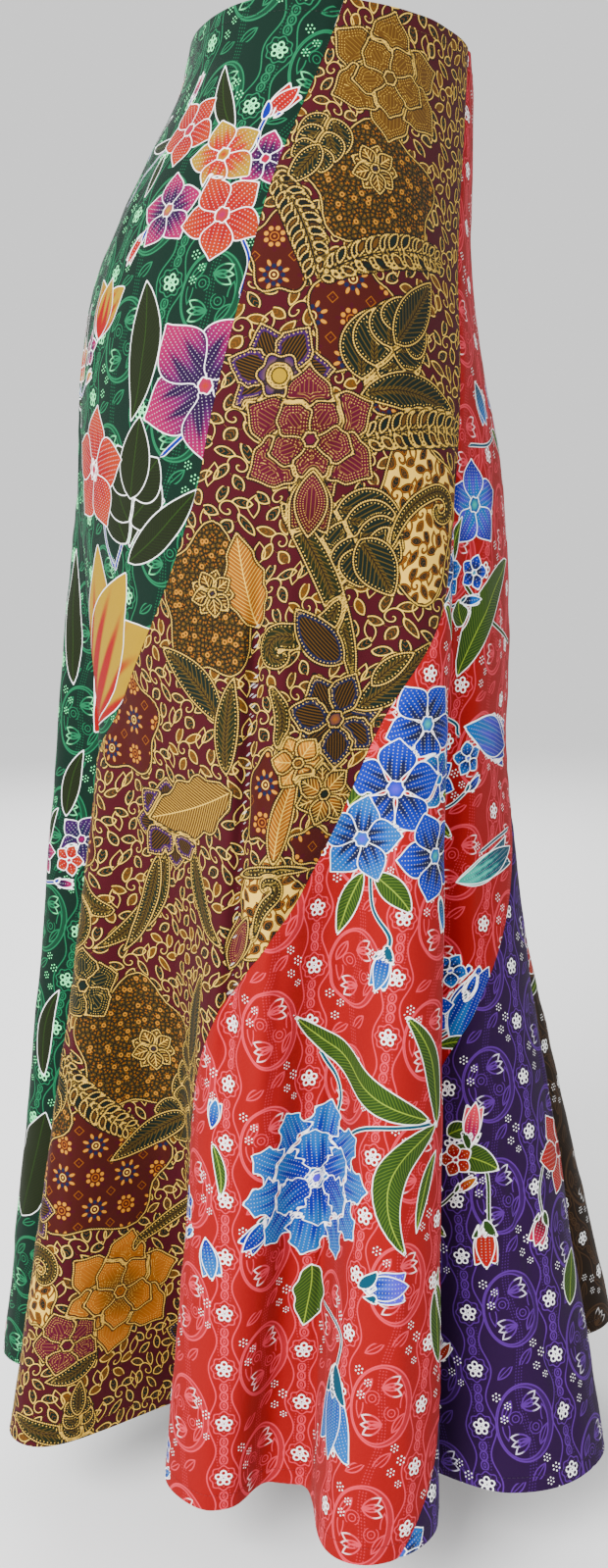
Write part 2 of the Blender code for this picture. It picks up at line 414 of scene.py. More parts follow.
class Flattening:
    """Lays a grid of the cloth's points out flat, with every small piece near its true shape."""

    rounds: int = 60
    weights: tuple = (0.02, 50.0)

    def __init__(self, points: np.ndarray) -> None:
        """Takes the grid, as rows by columns by three, its columns running to the viewer's left.

        Args:
            points: rows by columns by three, the columns running to the viewer's left.
        """
        self.rows, self.columns = points.shape[:2]
        index = np.arange(self.rows * self.columns).reshape(self.rows, self.columns)
        upper = np.stack([index[:-1, :-1], index[:-1, 1:], index[1:, :-1]], axis=-1)
        lower = np.stack([index[1:, 1:], index[1:, :-1], index[:-1, 1:]], axis=-1)
        self.triangles = np.concatenate([upper.reshape(-1, 3), lower.reshape(-1, 3)])
        corner = points.reshape(-1, 3)[self.triangles]
        first = corner[:, 1] - corner[:, 0]
        second = corner[:, 2] - corner[:, 0]
        base = np.linalg.norm(first, axis=1)
        rise = np.linalg.norm(np.cross(first, second), axis=1) / base
        run = (first * second).sum(1) / base
        zero = np.zeros_like(base)
        self.true_shape = np.stack(
            [np.stack([zero, zero], 1), np.stack([base, zero], 1), np.stack([run, rise], 1)], axis=1
        )
        self.start = self.unrolled(points)

    @staticmethod
    def unrolled(points: np.ndarray) -> np.ndarray:
        """A first guess: distances along the rows and down the middle column.

        Args:
            points: the grid of points.

        Returns:
            A flat place for each point.
        """
        along = along_rows(points)
        middle = points[:, points.shape[1] // 2]
        falls = np.linalg.norm(np.diff(middle, axis=0), axis=1)
        down = np.pad(np.cumsum(falls), (1, 0))
        x = along[:, -1:] / 2 - along
        return np.stack([x, np.broadcast_to(-down[:, None], x.shape)], axis=-1).reshape(-1, 2)

    def edges(self) -> list:
        """Each corner pair of every triangle with its weight and its true run.

        Returns:
            For each of the three pairs, both point numbers, the weights and the runs.
        """
        found = []
        for corner in range(3):
            i, j = (corner + 1) % 3, (corner + 2) % 3
            u = self.true_shape[:, i] - self.true_shape[:, corner]
            v = self.true_shape[:, j] - self.true_shape[:, corner]
            cross = np.abs(u[:, 0] * v[:, 1] - u[:, 1] * v[:, 0])
            weight = np.clip((u * v).sum(1) / cross, *self.weights)
            run = self.true_shape[:, i] - self.true_shape[:, j]
            found.append((self.triangles[:, i], self.triangles[:, j], weight, run))
        return found

    def flat(self) -> np.ndarray:
        """The flat places, as rows by columns by two, with the hem's middle level.

        Returns:
            The grid of flat places.
        """
        edges = self.edges()
        count = self.rows * self.columns
        stiffness = np.zeros((count, count))
        for i, j, weight, _ in edges:
            np.add.at(stiffness, (i, i), weight)
            np.add.at(stiffness, (j, j), weight)
            np.add.at(stiffness, (i, j), -weight)
            np.add.at(stiffness, (j, i), -weight)
        stiffness[0, 0] += 1.0
        solver = np.linalg.inv(stiffness)
        places = self.start
        for _ in range(self.rounds):
            same = np.zeros(len(self.triangles))
            turn = np.zeros(len(self.triangles))
            for i, j, weight, run in edges:
                now = places[i] - places[j]
                same += weight * (run * now).sum(1)
                turn += weight * (run[:, 0] * now[:, 1] - run[:, 1] * now[:, 0])
            angle = np.arctan2(turn, same)
            cosine, sine = np.cos(angle), np.sin(angle)
            pull = np.zeros_like(places)
            for i, j, weight, run in edges:
                x, y = run.T
                bent = np.stack([cosine * x - sine * y, sine * x + cosine * y], 1)
                np.add.at(pull, i, weight[:, None] * bent)
                np.add.at(pull, j, -weight[:, None] * bent)
            places = solver @ pull
        return self.levelled(places.reshape(self.rows, self.columns, 2))

    def levelled(self, places: np.ndarray) -> np.ndarray:
        """Turns the layout so that the middle of its hem runs straight across.

        Args:
            places: the grid of flat places.

        Returns:
            The same grid, turned and centred.
        """
        fifth = self.columns // 5
        hem = places[-1, 2 * fifth] - places[-1, 3 * fifth]
        across = hem / np.linalg.norm(hem)
        turn = np.array([[across[0], -across[1]], [across[1], across[0]]])
        level = places @ turn
        return level - (level.reshape(-1, 2).min(0) + level.reshape(-1, 2).max(0)) / 2


@dataclass(frozen=True)
class PhotoCamera:
    """The camera that the photograph was taken with, and its picture's size."""

    width: int = 620
    tall: int = 1599
    focal_pixels: float = 1482.0
    away: float = 1.005
    height: float = -0.308
    pitch_degrees: float = 9.45
    sensor: float = 36.0

    def project(self, points: np.ndarray) -> tuple:
        """The pixel column, pixel row and depth of each point.

        Args:
            points: the points, the last axis being x, y and z.

        Returns:
            The columns, the rows and the depths.
        """
        pitch = np.radians(self.pitch_degrees)
        forward = points[..., 0] + self.away
        rise = points[..., 2] - self.height
        depth = forward * np.cos(pitch) - rise * np.sin(pitch)
        up = forward * np.sin(pitch) + rise * np.cos(pitch)
        column = self.width / 2 - self.focal_pixels * points[..., 1] / depth
        row = self.tall / 2 - self.focal_pixels * up / depth
        return column, row, depth

    def toward(self, points: np.ndarray) -> np.ndarray:
        """Vectors from the points to the camera."""
        return np.array([-self.away, 0.0, self.height]) - points

    def place(self) -> None:
        """Makes Blender's camera and sets it as the scene's."""
        pitch = np.radians(self.pitch_degrees)
        forward = np.array([np.cos(pitch), 0.0, -np.sin(pitch)])
        right = np.array([0.0, -1.0, 0.0])
        up = np.cross(right, forward)
        data = bpy.data.cameras.new("photo_camera")
        data.sensor_width = self.sensor
        data.lens = self.focal_pixels / self.tall * self.sensor
        data.clip_start = 0.01
        camera = linked("photo_camera", data)
        turn = Matrix(np.column_stack([right, up, -forward]).tolist()).to_4x4()
        turn.translation = (-self.away, 0.0, self.height)
        camera.matrix_world = turn
        bpy.context.scene.camera = camera


class Seen(NamedTuple):
    """A place on the cloth, given by the photograph's pixel that shows it."""

    column: float
    row: float


class Flat(NamedTuple):
    """A place on the flat cloth, in millimetres to the right and up from its middle."""

    right: float
    up: float


Place = Union[Seen, Flat]


@dataclass
class PanelCloth:
    """One panel of the skirt as a thin closed shell, with its flat layout in millimetres."""

    name: str
    first_seam: str
    last_seam: str
    columns: int
    rows: int
    form: SkirtForm
    camera: PhotoCamera
    thickness: float = 0.0008
    turned_thickness: float = 0.0018
    hem_turn: float = 0.010
    waist_turn: float = 0.012
    seam_gap: float = 0.0002
    seam_dip: float = 0.0009
    seam_dip_width: float = 0.0032
    pucker: float = 0.0004
    pucker_reach: float = 0.014
    pucker_length: float = 0.016
    slub: float = 0.0005
    slub_sizes: tuple = (46.0, 19.0)
    inner_step: int = 3
    hollow_share: float = 0.8
    layout_rows: int = 37
    layout_columns: int = 23
    points: np.ndarray = field(init=False, repr=False)
    outward: np.ndarray = field(init=False, repr=False)
    flat: np.ndarray = field(init=False, repr=False)
    picture: tuple = field(init=False, repr=False)
    facing: np.ndarray = field(init=False, repr=False)

    def __post_init__(self) -> None:
        """Works out the panel's points, directions and flat layout."""
        down = np.linspace(0.0, 1.0, self.rows)
        angle = self.angles(down, self.columns)
        height = self.form.heights(angle, down[:, None])
        self.points = self.form.points(angle, height)
        self.outward = self.directions(angle, height)
        self.flat = self.laid_flat()
        self.shape_edges()
        self.picture = self.camera.project(self.points)
        self.facing = (self.outward * self.camera.toward(self.points)).sum(-1) > 0.0

    def angles(self, down: np.ndarray, columns: int) -> np.ndarray:
        """Angles at equal steps of arc length between the two seams.

        Args:
            down: each row's share of the way down.
            columns: how many points a row has.

        Returns:
            One row of angles for each row of the panel.
        """
        level = -LENGTH * down
        first = read_table(SEAMS, self.first_seam, level)
        last = read_table(SEAMS, self.last_seam, level)
        last = np.where(last < first, last + 360.0, last)
        fine = first[:, None] + (last - first)[:, None] * np.linspace(0, 1, 2 * columns)
        points = self.form.points(fine, self.form.heights(fine, down[:, None]))
        along = along_rows(points)
        wanted = np.linspace(0, 1, columns)
        return np.stack([np.interp(wanted * run[-1], run, row) for run, row in zip(along, fine)])

    def directions(self, angle: np.ndarray, height: np.ndarray) -> np.ndarray:
        """Unit vectors out of the cloth, exact along the seams so that neighbours agree.

        Args:
            angle: degrees round the axis.
            height: metres, 0 at the waist and -LENGTH at the hem.

        Returns:
            One vector for each point.
        """
        out = np.cross(-np.gradient(self.points, axis=0), np.gradient(self.points, axis=1))
        out /= np.linalg.norm(out, axis=-1, keepdims=True)
        for edge in (0, -1):
            out[:, edge] = self.form.normals(angle[:, edge], height[:, edge])
            out[edge] = self.form.normals(angle[edge], height[edge])
        return out

    def laid_flat(self) -> np.ndarray:
        """The flat place of every point, in millimetres.

        Returns:
            The grid of flat places.
        """
        down = np.linspace(0.0, 1.0, self.layout_rows)
        angle = self.angles(down, self.layout_columns)
        points = self.form.points(angle, self.form.heights(angle, down[:, None]))
        coarse = Flattening(points * MILLIMETRES).flat()
        wide = hermite(down, coarse.reshape(self.layout_rows, -1), np.linspace(0, 1, self.rows))
        wide = wide.reshape(self.rows, self.layout_columns, 2).transpose(1, 0, 2)
        knots = np.linspace(0.0, 1.0, self.layout_columns)
        wide = wide.reshape(self.layout_columns, -1)
        dense = hermite(knots, wide, np.linspace(0, 1, self.columns))
        return dense.reshape(self.columns, self.rows, 2).transpose(1, 0, 2)

    def seam_distances(self) -> tuple:
        """Each point's distance from its first seam and from its last, square to the seam.

        Returns:
            The two grids of distances, in metres.
        """
        along = along_rows(self.points)
        slants = []
        for edge, inner in ((0, 1), (-1, -2)):
            run = np.gradient(self.points[:, edge], axis=0)
            across = self.points[:, inner] - self.points[:, edge]
            square = np.linalg.norm(np.cross(run, across), axis=1)
            slants.append(square / np.linalg.norm(run, axis=1) / np.linalg.norm(across, axis=1))
        return along * slants[0][:, None], (along[:, -1:] - along) * slants[1][:, None]

    def shape_edges(self) -> None:
        """Draws the cloth in along its seams, with puckers and slubs, and parts it at them."""
        from_first, from_last = self.seam_distances()
        push = np.zeros_like(from_first)
        places = self.flat.reshape(-1, 2)
        for size, seed in zip(self.slub_sizes, (11, 12)):
            noise = soft_noise(places, size, seed).reshape(push.shape)
            away = np.minimum(from_first, from_last)
            push += self.slub * noise * smooth(away / self.pucker_reach)
        down = np.linspace(0, LENGTH, self.rows)[:, None]
        for away, phase in ((from_first, 0.0), (from_last, 1.3)):
            push -= self.seam_dip * np.exp(-((away / self.seam_dip_width) ** 2))
            wave = np.sin(2 * np.pi * down / self.pucker_length + phase + 2.0 * np.sin(down * 31.0))
            near = smooth(away / self.seam_dip_width) * np.exp(-away / self.pucker_reach * 2)
            push += self.pucker * wave * near
        self.points = self.points + self.outward * push[..., None]
        for edge, sign in ((0, -1), (-1, 1)):
            run = np.gradient(self.points[:, edge], axis=0)
            side = np.cross(self.outward[:, edge], run)
            side /= np.linalg.norm(side, axis=1, keepdims=True)
            self.points[:, edge] += side * sign * self.seam_gap / 2

    def spot(self, place: Place) -> np.ndarray:
        """The flat place, in millimetres, of a place given in either way.

        Args:
            place: where, in the photograph or on the flat cloth.

        Returns:
            How far right and up it is.
        """
        if isinstance(place, Flat):
            return np.array(place)
        column, row, depth = self.picture
        away = np.hypot(column - place.column, row - place.row) + np.where(self.facing, 0.0, 1e4)
        close = away <= away.min() + 2.0
        return self.flat[np.unravel_index(np.where(close, depth, np.inf).argmin(), depth.shape)]

    def turned_rows(self) -> tuple:
        """The rows where the turned waist ends and where the turned hem starts."""
        waist_row = round(self.waist_turn / LENGTH * self.rows)
        return waist_row, self.rows - 1 - round(self.hem_turn / LENGTH * self.rows)

    def inner_lines(self) -> tuple:
        """The rows and columns of the outer face that the wrong side is made from.

        Returns:
            The numbers of the rows and those of the columns.
        """
        rows = set(range(0, self.rows, self.inner_step)) | {self.rows - 1}
        columns = set(range(0, self.columns, self.inner_step)) | {self.columns - 1}
        waist_row, hem_row = self.turned_rows()
        rows |= {waist_row, waist_row + 1, hem_row - 1, hem_row}
        return np.array(sorted(rows)), np.array(sorted(columns))

    def hollows(self) -> np.ndarray:
        """How far the wrong side's straight runs would cut across each hollow of the cloth.

        Returns:
            The depth at each point, in metres.
        """
        middle = (np.roll(self.points, 2, axis=1) + np.roll(self.points, -2, axis=1)) / 2
        rise = np.maximum(((middle - self.points) * self.outward).sum(-1), 0.0)
        rise[:, :2] = rise[:, -2:] = 0.0
        reach = range(-self.inner_step, self.inner_step + 1)
        return np.max([np.roll(rise, step, axis=1) for step in reach], axis=0) * self.hollow_share

    def inner_points(self, rows: np.ndarray, columns: np.ndarray) -> np.ndarray:
        """The wrong side's points, lower under the turned waist and hem and in hollows.

        Args:
            rows: the rows it is made from.
            columns: the columns it is made from.

        Returns:
            The grid of points.
        """
        waist_row, hem_row = self.turned_rows()
        turned_in = (rows <= waist_row) | (rows >= hem_row)
        depth = np.where(turned_in, self.turned_thickness, self.thickness)[:, None, None]
        depth = depth + self.hollows()[np.ix_(rows, columns)][..., None]
        outer = self.points[np.ix_(rows, columns)]
        return outer - self.outward[np.ix_(rows, columns)] * depth

    @staticmethod
    def rim(outer: np.ndarray, inner: np.ndarray, taken: np.ndarray, flip: bool) -> list:
        """Triangles between an outer edge and the inner edge made from some of its points.

        Args:
            outer: point numbers along the outer edge.
            inner: point numbers along the inner edge.
            taken: which of the outer edge's points the inner ones were made from.
            flip: whether the triangles turn the other way.

        Returns:
            The triangles.
        """
        faces = []
        for k in range(len(inner) - 1):
            for m in range(taken[k], taken[k + 1]):
                faces.append((outer[m], outer[m + 1], inner[k]))
            faces.append((outer[taken[k + 1]], inner[k + 1], inner[k]))
        return [face[::-1] for face in faces] if flip else faces

    def build(self, values: dict) -> bpy.types.Object:
        """Makes the panel's closed shell.

        Args:
            values: arrays for the outer face's points, by the name of the attribute.

        Returns:
            The panel's object, without its material.
        """
        rows, columns = self.inner_lines()
        inner = self.inner_points(rows, columns)
        index = np.arange(self.rows * self.columns).reshape(self.rows, self.columns)
        under = np.arange(inner.shape[0] * inner.shape[1]).reshape(inner.shape[:2]) + index.size
        faces = grid_faces(index) + grid_faces(under, (0, 3, 2, 1))
        faces += self.rim(index[0], under[0], columns, True)
        faces += self.rim(index[-1], under[-1], columns, False)
        faces += self.rim(index[:, 0], under[:, 0], rows, False)
        faces += self.rim(index[:, -1], under[:, -1], rows, True)
        points = np.concatenate([self.points.reshape(-1, 3), inner.reshape(-1, 3)])
        mesh = bpy.data.meshes.new(self.name)
        mesh.from_pydata(points.tolist(), [], faces)
        mesh.shade_smooth()
        mesh.set_sharp_from_angle(angle=SHARP_ANGLE)
        taken = index[np.ix_(rows, columns)].ravel()
        for name, array in values.items():
            store(mesh, name, np.concatenate([array, array[taken]]))
        store(mesh, "wrong_side", np.concatenate([np.zeros(index.size), np.ones(len(taken))]))
        return linked("cloth_" + self.name, mesh)

    def cut_size(self) -> tuple:
        """The flat piece's width and length in metres, and its area in square metres.

        Returns:
            The width, the length and the area.
        """
        places = self.flat / MILLIMETRES
        size = places.reshape(-1, 2).max(0) - places.reshape(-1, 2).min(0)
        edge = border(places)
        ahead = np.roll(edge, -1, axis=0)
        area = abs((edge[:, 0] * ahead[:, 1] - edge[:, 1] * ahead[:, 0]).sum()) / 2
        return float(size[0]), float(size[1]), float(area)


class Dye(Enum):
    """Colours of the printed cottons, as red, green and blue from 0 to 255."""

    WHITE = (240, 242, 236)
    MINT = (190, 232, 210)
    CREAM = (240, 214, 152)
    PALE_GOLD = (224, 186, 94)
    GOLD = (192, 142, 46)
    OCHRE = (148, 104, 34)
    BRONZE = (138, 112, 40)
    BROWN = (58, 36, 16)
    MAROON = (114, 16, 36)
    WINE = (138, 26, 66)
    BRICK = (112, 30, 22)
    RED = (196, 10, 62)
    BLUSH = (250, 132, 150)
    CORAL = (232, 70, 54)
    ORANGE = (240, 104, 50)
    AMBER = (244, 158, 52)
    YELLOW = (250, 226, 56)
    PINK = (246, 130, 150)
    ROSE = (232, 60, 120)
    MAGENTA = (196, 30, 140)
    VIOLET = (94, 36, 130)
    LILAC = (150, 130, 220)
    NAVY = (34, 42, 100)
    BLUE = (30, 70, 190)
    CORNFLOWER = (52, 104, 204)
    SKY = (64, 164, 226)
    TEAL = (30, 150, 150)
    PALE_TEAL = (120, 210, 205)
    BOTTLE = (16, 40, 30)
    PINE = (6, 58, 42)
    JADE = (56, 168, 124)
    PURPLE = (62, 8, 92)
    IRIS = (146, 84, 186)
    INK = (24, 18, 12)
    TAN = (128, 92, 54)
    LEAF = (66, 112, 34)
    OLIVE = (50, 50, 16)
    LIME = (196, 206, 110)

    @property
    def light(self) -> np.ndarray:
        """The share of light that the dye gives back, so that the picture shows the colour.

        Returns:
            The red, green and blue shares.
        """
        shown = np.array(self.value, dtype=float)
        greys, lights = np.array(PICTURE_TONES).T
        light = np.exp(np.interp(shown, greys, np.log(lights)))
        paleness = shown.min() / shown.max()
        brightest = VIVID_LIGHT + PALE_LIGHT * paleness**2
        light = np.minimum(light, brightest)
        middle = shown.argsort()[1]
        light[middle] = min(light[middle], light.max() * (0.5 + 0.5 * paleness))
        light = np.maximum(light - CROSSTALK * light.max(), 0.0)
        return np.clip(light / STUDIO_LIGHT, DARKEST, LIGHTEST)


class Mark(IntEnum):
    """How the inside of a printed shape is worked."""

    PLAIN = 0
    VEINED = 1
    DOTTED = 2
    HATCHED = 3
    EYED = 4


class Patch(IntEnum):
    """The closely patterned grounds of the gold and ochre cottons."""

    STARS = 0
    SPECKLE = 1
    CRACKLE = 2


def nearest(places: np.ndarray, starts: np.ndarray, runs: np.ndarray) -> tuple:
    """Finds the nearest point of a chain of straight runs.

    Args:
        places: the places, one a row.
        starts: where each run starts.
        runs: each run, from its start to its end.

    Returns:
        For each place how far away that point is, how far along the chain, the number of its
        run, and the way from that run's start to the place.
    """
    squared = np.maximum((runs**2).sum(1), 1e-12)
    reach = places[:, None, :] - starts[None, :, :]
    share = np.clip((reach * runs).sum(-1) / squared, 0.0, 1.0)
    gap = reach - share[..., None] * runs
    squares = (gap**2).sum(-1)
    near = squares.argmin(1)
    each = np.arange(len(places))
    lengths = np.sqrt(squared)
    before = np.concatenate([[0.0], np.cumsum(lengths)[:-1]])
    along = before[near] + share[each, near] * lengths[near]
    return np.sqrt(squares[each, near]), along, near, reach[each, near]


def outline_distance(places: np.ndarray, outline: np.ndarray) -> tuple:
    """Measures places against a closed outline.

    Args:
        places: the places, one a row.
        outline: the corners, in order round it.

    Returns:
        How far inside each place lies, below 0 outside, and how far round its nearest point is.
    """
    run = np.roll(outline, -1, axis=0) - outline
    away, around, _, _ = nearest(places, outline, run)
    y = places[:, 1:2]
    low, high = outline[:, 1], np.roll(outline[:, 1], -1)
    crosses = (low > y) != (high > y)
    slope = run[:, 0] / np.where(run[:, 1] == 0, 1e-9, run[:, 1])
    right_of = places[:, 0:1] < outline[:, 0] + (y - low) * slope
    inside = (crosses & right_of).sum(1) % 2 == 1
    return np.where(inside, away, -away), around


def line_distance(places: np.ndarray, line: np.ndarray) -> tuple:
    """Measures places against an open line.

    Args:
        places: the places, one a row.
        line: its points, in order.

    Returns:
        How far along each place's nearest point is, and how far to the left it lies, below 0 on
        the right.
    """
    run = np.diff(line, axis=0)
    away, along, near, reach = nearest(places, line[:-1], run)
    cross = run[near, 0] * reach[:, 1] - run[near, 1] * reach[:, 0]
    return along, np.where(cross >= 0, away, -away)


def line_length(line: np.ndarray) -> float:
    """The length of an open line."""
    return float(np.linalg.norm(np.diff(line, axis=0), axis=1).sum())


def bent_line(base: np.ndarray, tip: np.ndarray, bend: float, count: int = 15) -> np.ndarray:
    """A line that bows to its left by a share of its length.

    Args:
        base: where it starts.
        tip: where it ends.
        bend: the share.
        count: how many points it has.

    Returns:
        Its points.
    """
    t = np.linspace(0.0, 1.0, count)[:, None]
    run = tip - base
    middle = (base + tip) / 2 + np.array([-run[1], run[0]]) * bend
    return (1 - t) ** 2 * base + 2 * t * (1 - t) * middle + t**2 * tip


def turned(vector: tuple, degrees: float) -> np.ndarray:
    """A vector turned counter-clockwise.

    Args:
        vector: its x and y.
        degrees: how far it turns.

    Returns:
        The turned vector.
    """
    angle = np.radians(degrees)
    x, y = vector
    return np.array([x * np.cos(angle) - y * np.sin(angle), x * np.sin(angle) + y * np.cos(angle)])


@dataclass(frozen=True)
class Blade:
    """A petal, leaf or lobe: a tapering shape along a bent midrib. Sizes are in millimetres."""

    line: np.ndarray
    width: float
    ink: Dye
    screen: int
    tip_ink: Optional[Dye] = None
    streak: Optional[Dye] = None
    streaks: float = 2.5
    belly: float = 1.0
    fullness: float = 0.8
    stub: float = 0.0
    teeth: float = 0.0
    tooth: float = 0.0
    mark: Mark = Mark.PLAIN
    blaze: float = 0.62

    def half_widths(self) -> np.ndarray:
        """Half the width at each point of the midrib.

        Returns:
            The half widths, in millimetres.
        """
        t = np.linspace(0.0, 1.0, len(self.line))
        swell = np.sin(np.pi * t**self.belly) ** self.fullness
        swell = np.maximum(swell, self.stub * (1 - t) + 0.02)
        ragged = 1 + self.tooth * np.sin(2 * np.pi * self.teeth * t)
        return self.width / 2 * swell * ragged

    def outline(self) -> np.ndarray:
        """The outline's corners.

        Returns:
            The corners, in order round it.
        """
        run = np.gradient(self.line, axis=0)
        side = np.stack([-run[:, 1], run[:, 0]], axis=1)
        side /= np.maximum(np.linalg.norm(side, axis=1, keepdims=True), 1e-9)
        offset = side * self.half_widths()[:, None]
        return np.concatenate([self.line + offset, (self.line - offset)[::-1]])

    def inks(self, along: np.ndarray, across: np.ndarray) -> np.ndarray:
        """The fill colour at places along and across the midrib.

        Args:
            along: how far along the midrib.
            across: how far to its left.

        Returns:
            One colour for each place.
        """
        t = np.clip(along / line_length(self.line), 0, 1)
        tip = (self.tip_ink or self.ink).light
        shade = self.ink.light + (tip - self.ink.light) * smooth(t * 1.25 - 0.1)[:, None]
        if self.streak is not None:
            wave = 0.5 + 0.5 * np.cos(2 * np.pi * across / self.width * 2 * self.streaks)
            amount = smooth(0.5 + 4.0 * (self.blaze - t - 0.45 * wave))
            shade = shade + (self.streak.light - shade) * amount[:, None]
        return shade


class Printer:
    """Prints shapes on one panel through several screens, the later over the earlier."""

    screens: int = 5
    reach: float = 6.0
    gap: float = 1.7
    far: float = 30.0

    def __init__(self, cloth: PanelCloth) -> None:
        """Starts with a bare panel.

        Args:
            cloth: the panel.
        """
        self.cloth = cloth
        self.places = cloth.flat.reshape(-1, 2)
        count = len(self.places)
        self.inside = np.full((self.screens, count), -self.far)
        self.ink = np.zeros((self.screens, count, 3))
        self.work = np.zeros((self.screens, count, 4))
        self.stem_ink = np.zeros((count, 3))
        self.stem_side = np.full(count, self.far)
        self.stem_work = np.zeros((count, 3))
        self.stem_work[:, 0] = self.far
        self.patches = np.full((len(Patch), count), -self.far)

    def spot(self, place: Place) -> np.ndarray:
        """The flat place of a place on this panel."""
        return self.cloth.spot(place)

    def near(self, outline: np.ndarray, reach: float) -> np.ndarray:
        """The numbers of the points in an outline's box, widened by a reach.

        Args:
            outline: the outline's corners, in order round it.
            reach: how far the box is widened.

        Returns:
            The numbers of the points.
        """
        low, high = outline.min(0) - reach, outline.max(0) + reach
        x, y = self.places[:, 0], self.places[:, 1]
        return np.flatnonzero((x > low[0]) & (x < high[0]) & (y > low[1]) & (y < high[1]))

    def blade(self, blade: Blade) -> None:
        """Prints one blade.

        Args:
            blade: the blade.
        """
        outline = blade.outline()
        here = self.near(outline, self.reach)
        if len(here):
            inside, around = outline_distance(self.places[here], outline)
            along, across = line_distance(self.places[here], blade.line)
            work = (along, across, around)
            self.lay(here, inside, blade.screen, blade.inks(along, across), work, blade.mark)

    def disc(
        self, centre: np.ndarray, radius: float, ink: Dye, screen: int, **looks: object
    ) -> None:
        """Prints a round spot, which can have lobes.

        Args:
            centre: its middle, flat.
            radius: its radius.
            ink: its colour.
            screen: the screen that it is printed through.
            looks: lobes, lobe_depth and edge_ink, where it has them.
        """
        lobes, depth = looks.get("lobes", 0), looks.get("lobe_depth", 0.0)
        turn = np.linspace(0, 2 * np.pi, max(24, 8 * lobes), endpoint=False)
        size = radius * (1 + depth * np.cos(lobes * turn))
        outline = centre + np.stack([np.cos(turn), np.sin(turn)], 1) * size[:, None]
        here = self.near(outline, self.reach)
        if not len(here):
            return
        inside, around = outline_distance(self.places[here], outline)
        offset = self.places[here] - centre
        out = np.hypot(offset[:, 0], offset[:, 1])
        share = smooth(out / radius)[:, None]
        inks = ink.light * (1 - share) + looks.get("edge_ink", ink).light * share
        sweep = np.arctan2(offset[:, 1], offset[:, 0]) * radius * 0.6
        self.lay(here, inside, screen, inks, (out, sweep, around), Mark.PLAIN)

    def lay(
        self, here: np.ndarray, inside: np.ndarray, screen: int, inks: np.ndarray, work: tuple,
        mark: Mark,
    ) -> None:
        """Lays one shape on its screen and cuts it out of the screens above.

        Args:
            here: the numbers of the points near the shape.
            inside: how far inside the shape each lies.
            screen: the shape's screen.
            inks: each point's colour.
            work: how far along, across and round the shape each point lies.
            mark: how the shape's inside is worked.
        """
        for upper in range(screen + 1, self.screens):
            self.inside[upper, here] = np.minimum(self.inside[upper, here], -inside)
        before = np.minimum(self.inside[screen, here], -inside - self.gap)
        wins = inside > before
        chosen = here[wins]
        self.inside[screen, here] = np.maximum(before, inside)
        self.ink[screen, chosen] = inks[wins]
        for column, value in enumerate(work):
            self.work[screen, chosen, column] = value[wins]
        self.work[screen, chosen, 3] = float(mark)

    def stem(self, line: np.ndarray, width: float, ink: Dye) -> None:
        """Draws a stem or a tendril under the shapes.

        Args:
            line: the points of its middle line.
            width: its width.
            ink: its colour.
        """
        here = self.near(line, self.reach)
        if not len(here):
            return
        along, side = line_distance(self.places[here], line)
        wins = np.abs(side) < self.stem_work[here, 0]
        chosen = here[wins]
        self.stem_side[chosen] = side[wins]
        self.stem_work[chosen, 0] = np.abs(side[wins])
        self.stem_work[chosen, 1] = along[wins]
        self.stem_work[chosen, 2] = width / 2
        self.stem_ink[chosen] = ink.light

    def patch(self, kind: Patch, outline: np.ndarray) -> None:
        """Gives a stretch of the ground one of the close patterns.

        Args:
            kind: which pattern.
            outline: the outline's corners, in order round it.
        """
        here = self.near(outline, self.far)
        inside, _ = outline_distance(self.places[here], outline)
        for other in Patch:
            if other != kind:
                self.patches[other, here] = np.minimum(self.patches[other, here], -inside)
        self.patches[kind, here] = np.maximum(self.patches[kind, here], inside)

    def room(self, point: int) -> float:
        """How far one of the panel's points is from the nearest printed shape or stem."""
        return min(-self.inside[:, point].max(), self.stem_work[point, 0])

    def values(self) -> dict:
        """The attributes that the cloth's material reads.

        Returns:
            Arrays by the name of the attribute.
        """
        flat = np.column_stack([self.places, np.zeros(len(self.places))])
        found = {"cloth_place": flat}
        for screen in range(self.screens):
            found[f"ink_{screen}"] = np.column_stack([self.ink[screen], self.inside[screen]])
            found[f"work_{screen}"] = self.work[screen]
        found["stem_ink"] = np.column_stack([self.stem_ink, self.stem_side])
        found["stem_work"] = self.stem_work
        found["patches"] = self.patches.T
        return found


def smooth_line(points: np.ndarray, steps: int = 8) -> np.ndarray:
    """A smooth line through a few points."""
    knots = np.arange(len(points), dtype=float)
    return hermite(knots, points, np.linspace(0, len(points) - 1, steps * (len(points) - 1) + 1))


@dataclass(frozen=True)
class Leaf:
    """A single leaf with a midrib. Sizes are in millimetres."""

    base: Place
    tip: Place
    width: float
    bend: float = 0.0
    ink: Dye = Dye.OLIVE
    tip_ink: Optional[Dye] = None
    belly: float = 0.85
    teeth: float = 0.0
    tooth: float = 0.0
    screen: int = 0
    mark: Mark = Mark.VEINED

    def paint(self, printer: Printer) -> None:
        """Prints the leaf.

        Args:
            printer: what prints on the panel.
        """
        line = bent_line(printer.spot(self.base), printer.spot(self.tip), self.bend)
        leaf = Blade(
            line, self.width, self.ink, self.screen, self.tip_ink, belly=self.belly,
            teeth=self.teeth, tooth=self.tooth, mark=self.mark,
        )
        printer.blade(leaf)


@dataclass(frozen=True)
class Stem:
    """A stem through a few places."""

    through: tuple
    width: float = 1.8
    ink: Dye = Dye.TEAL

    def paint(self, printer: Printer) -> None:
        """Draws the stem."""
        points = np.array([printer.spot(place) for place in self.through])
        printer.stem(smooth_line(points), self.width, self.ink)


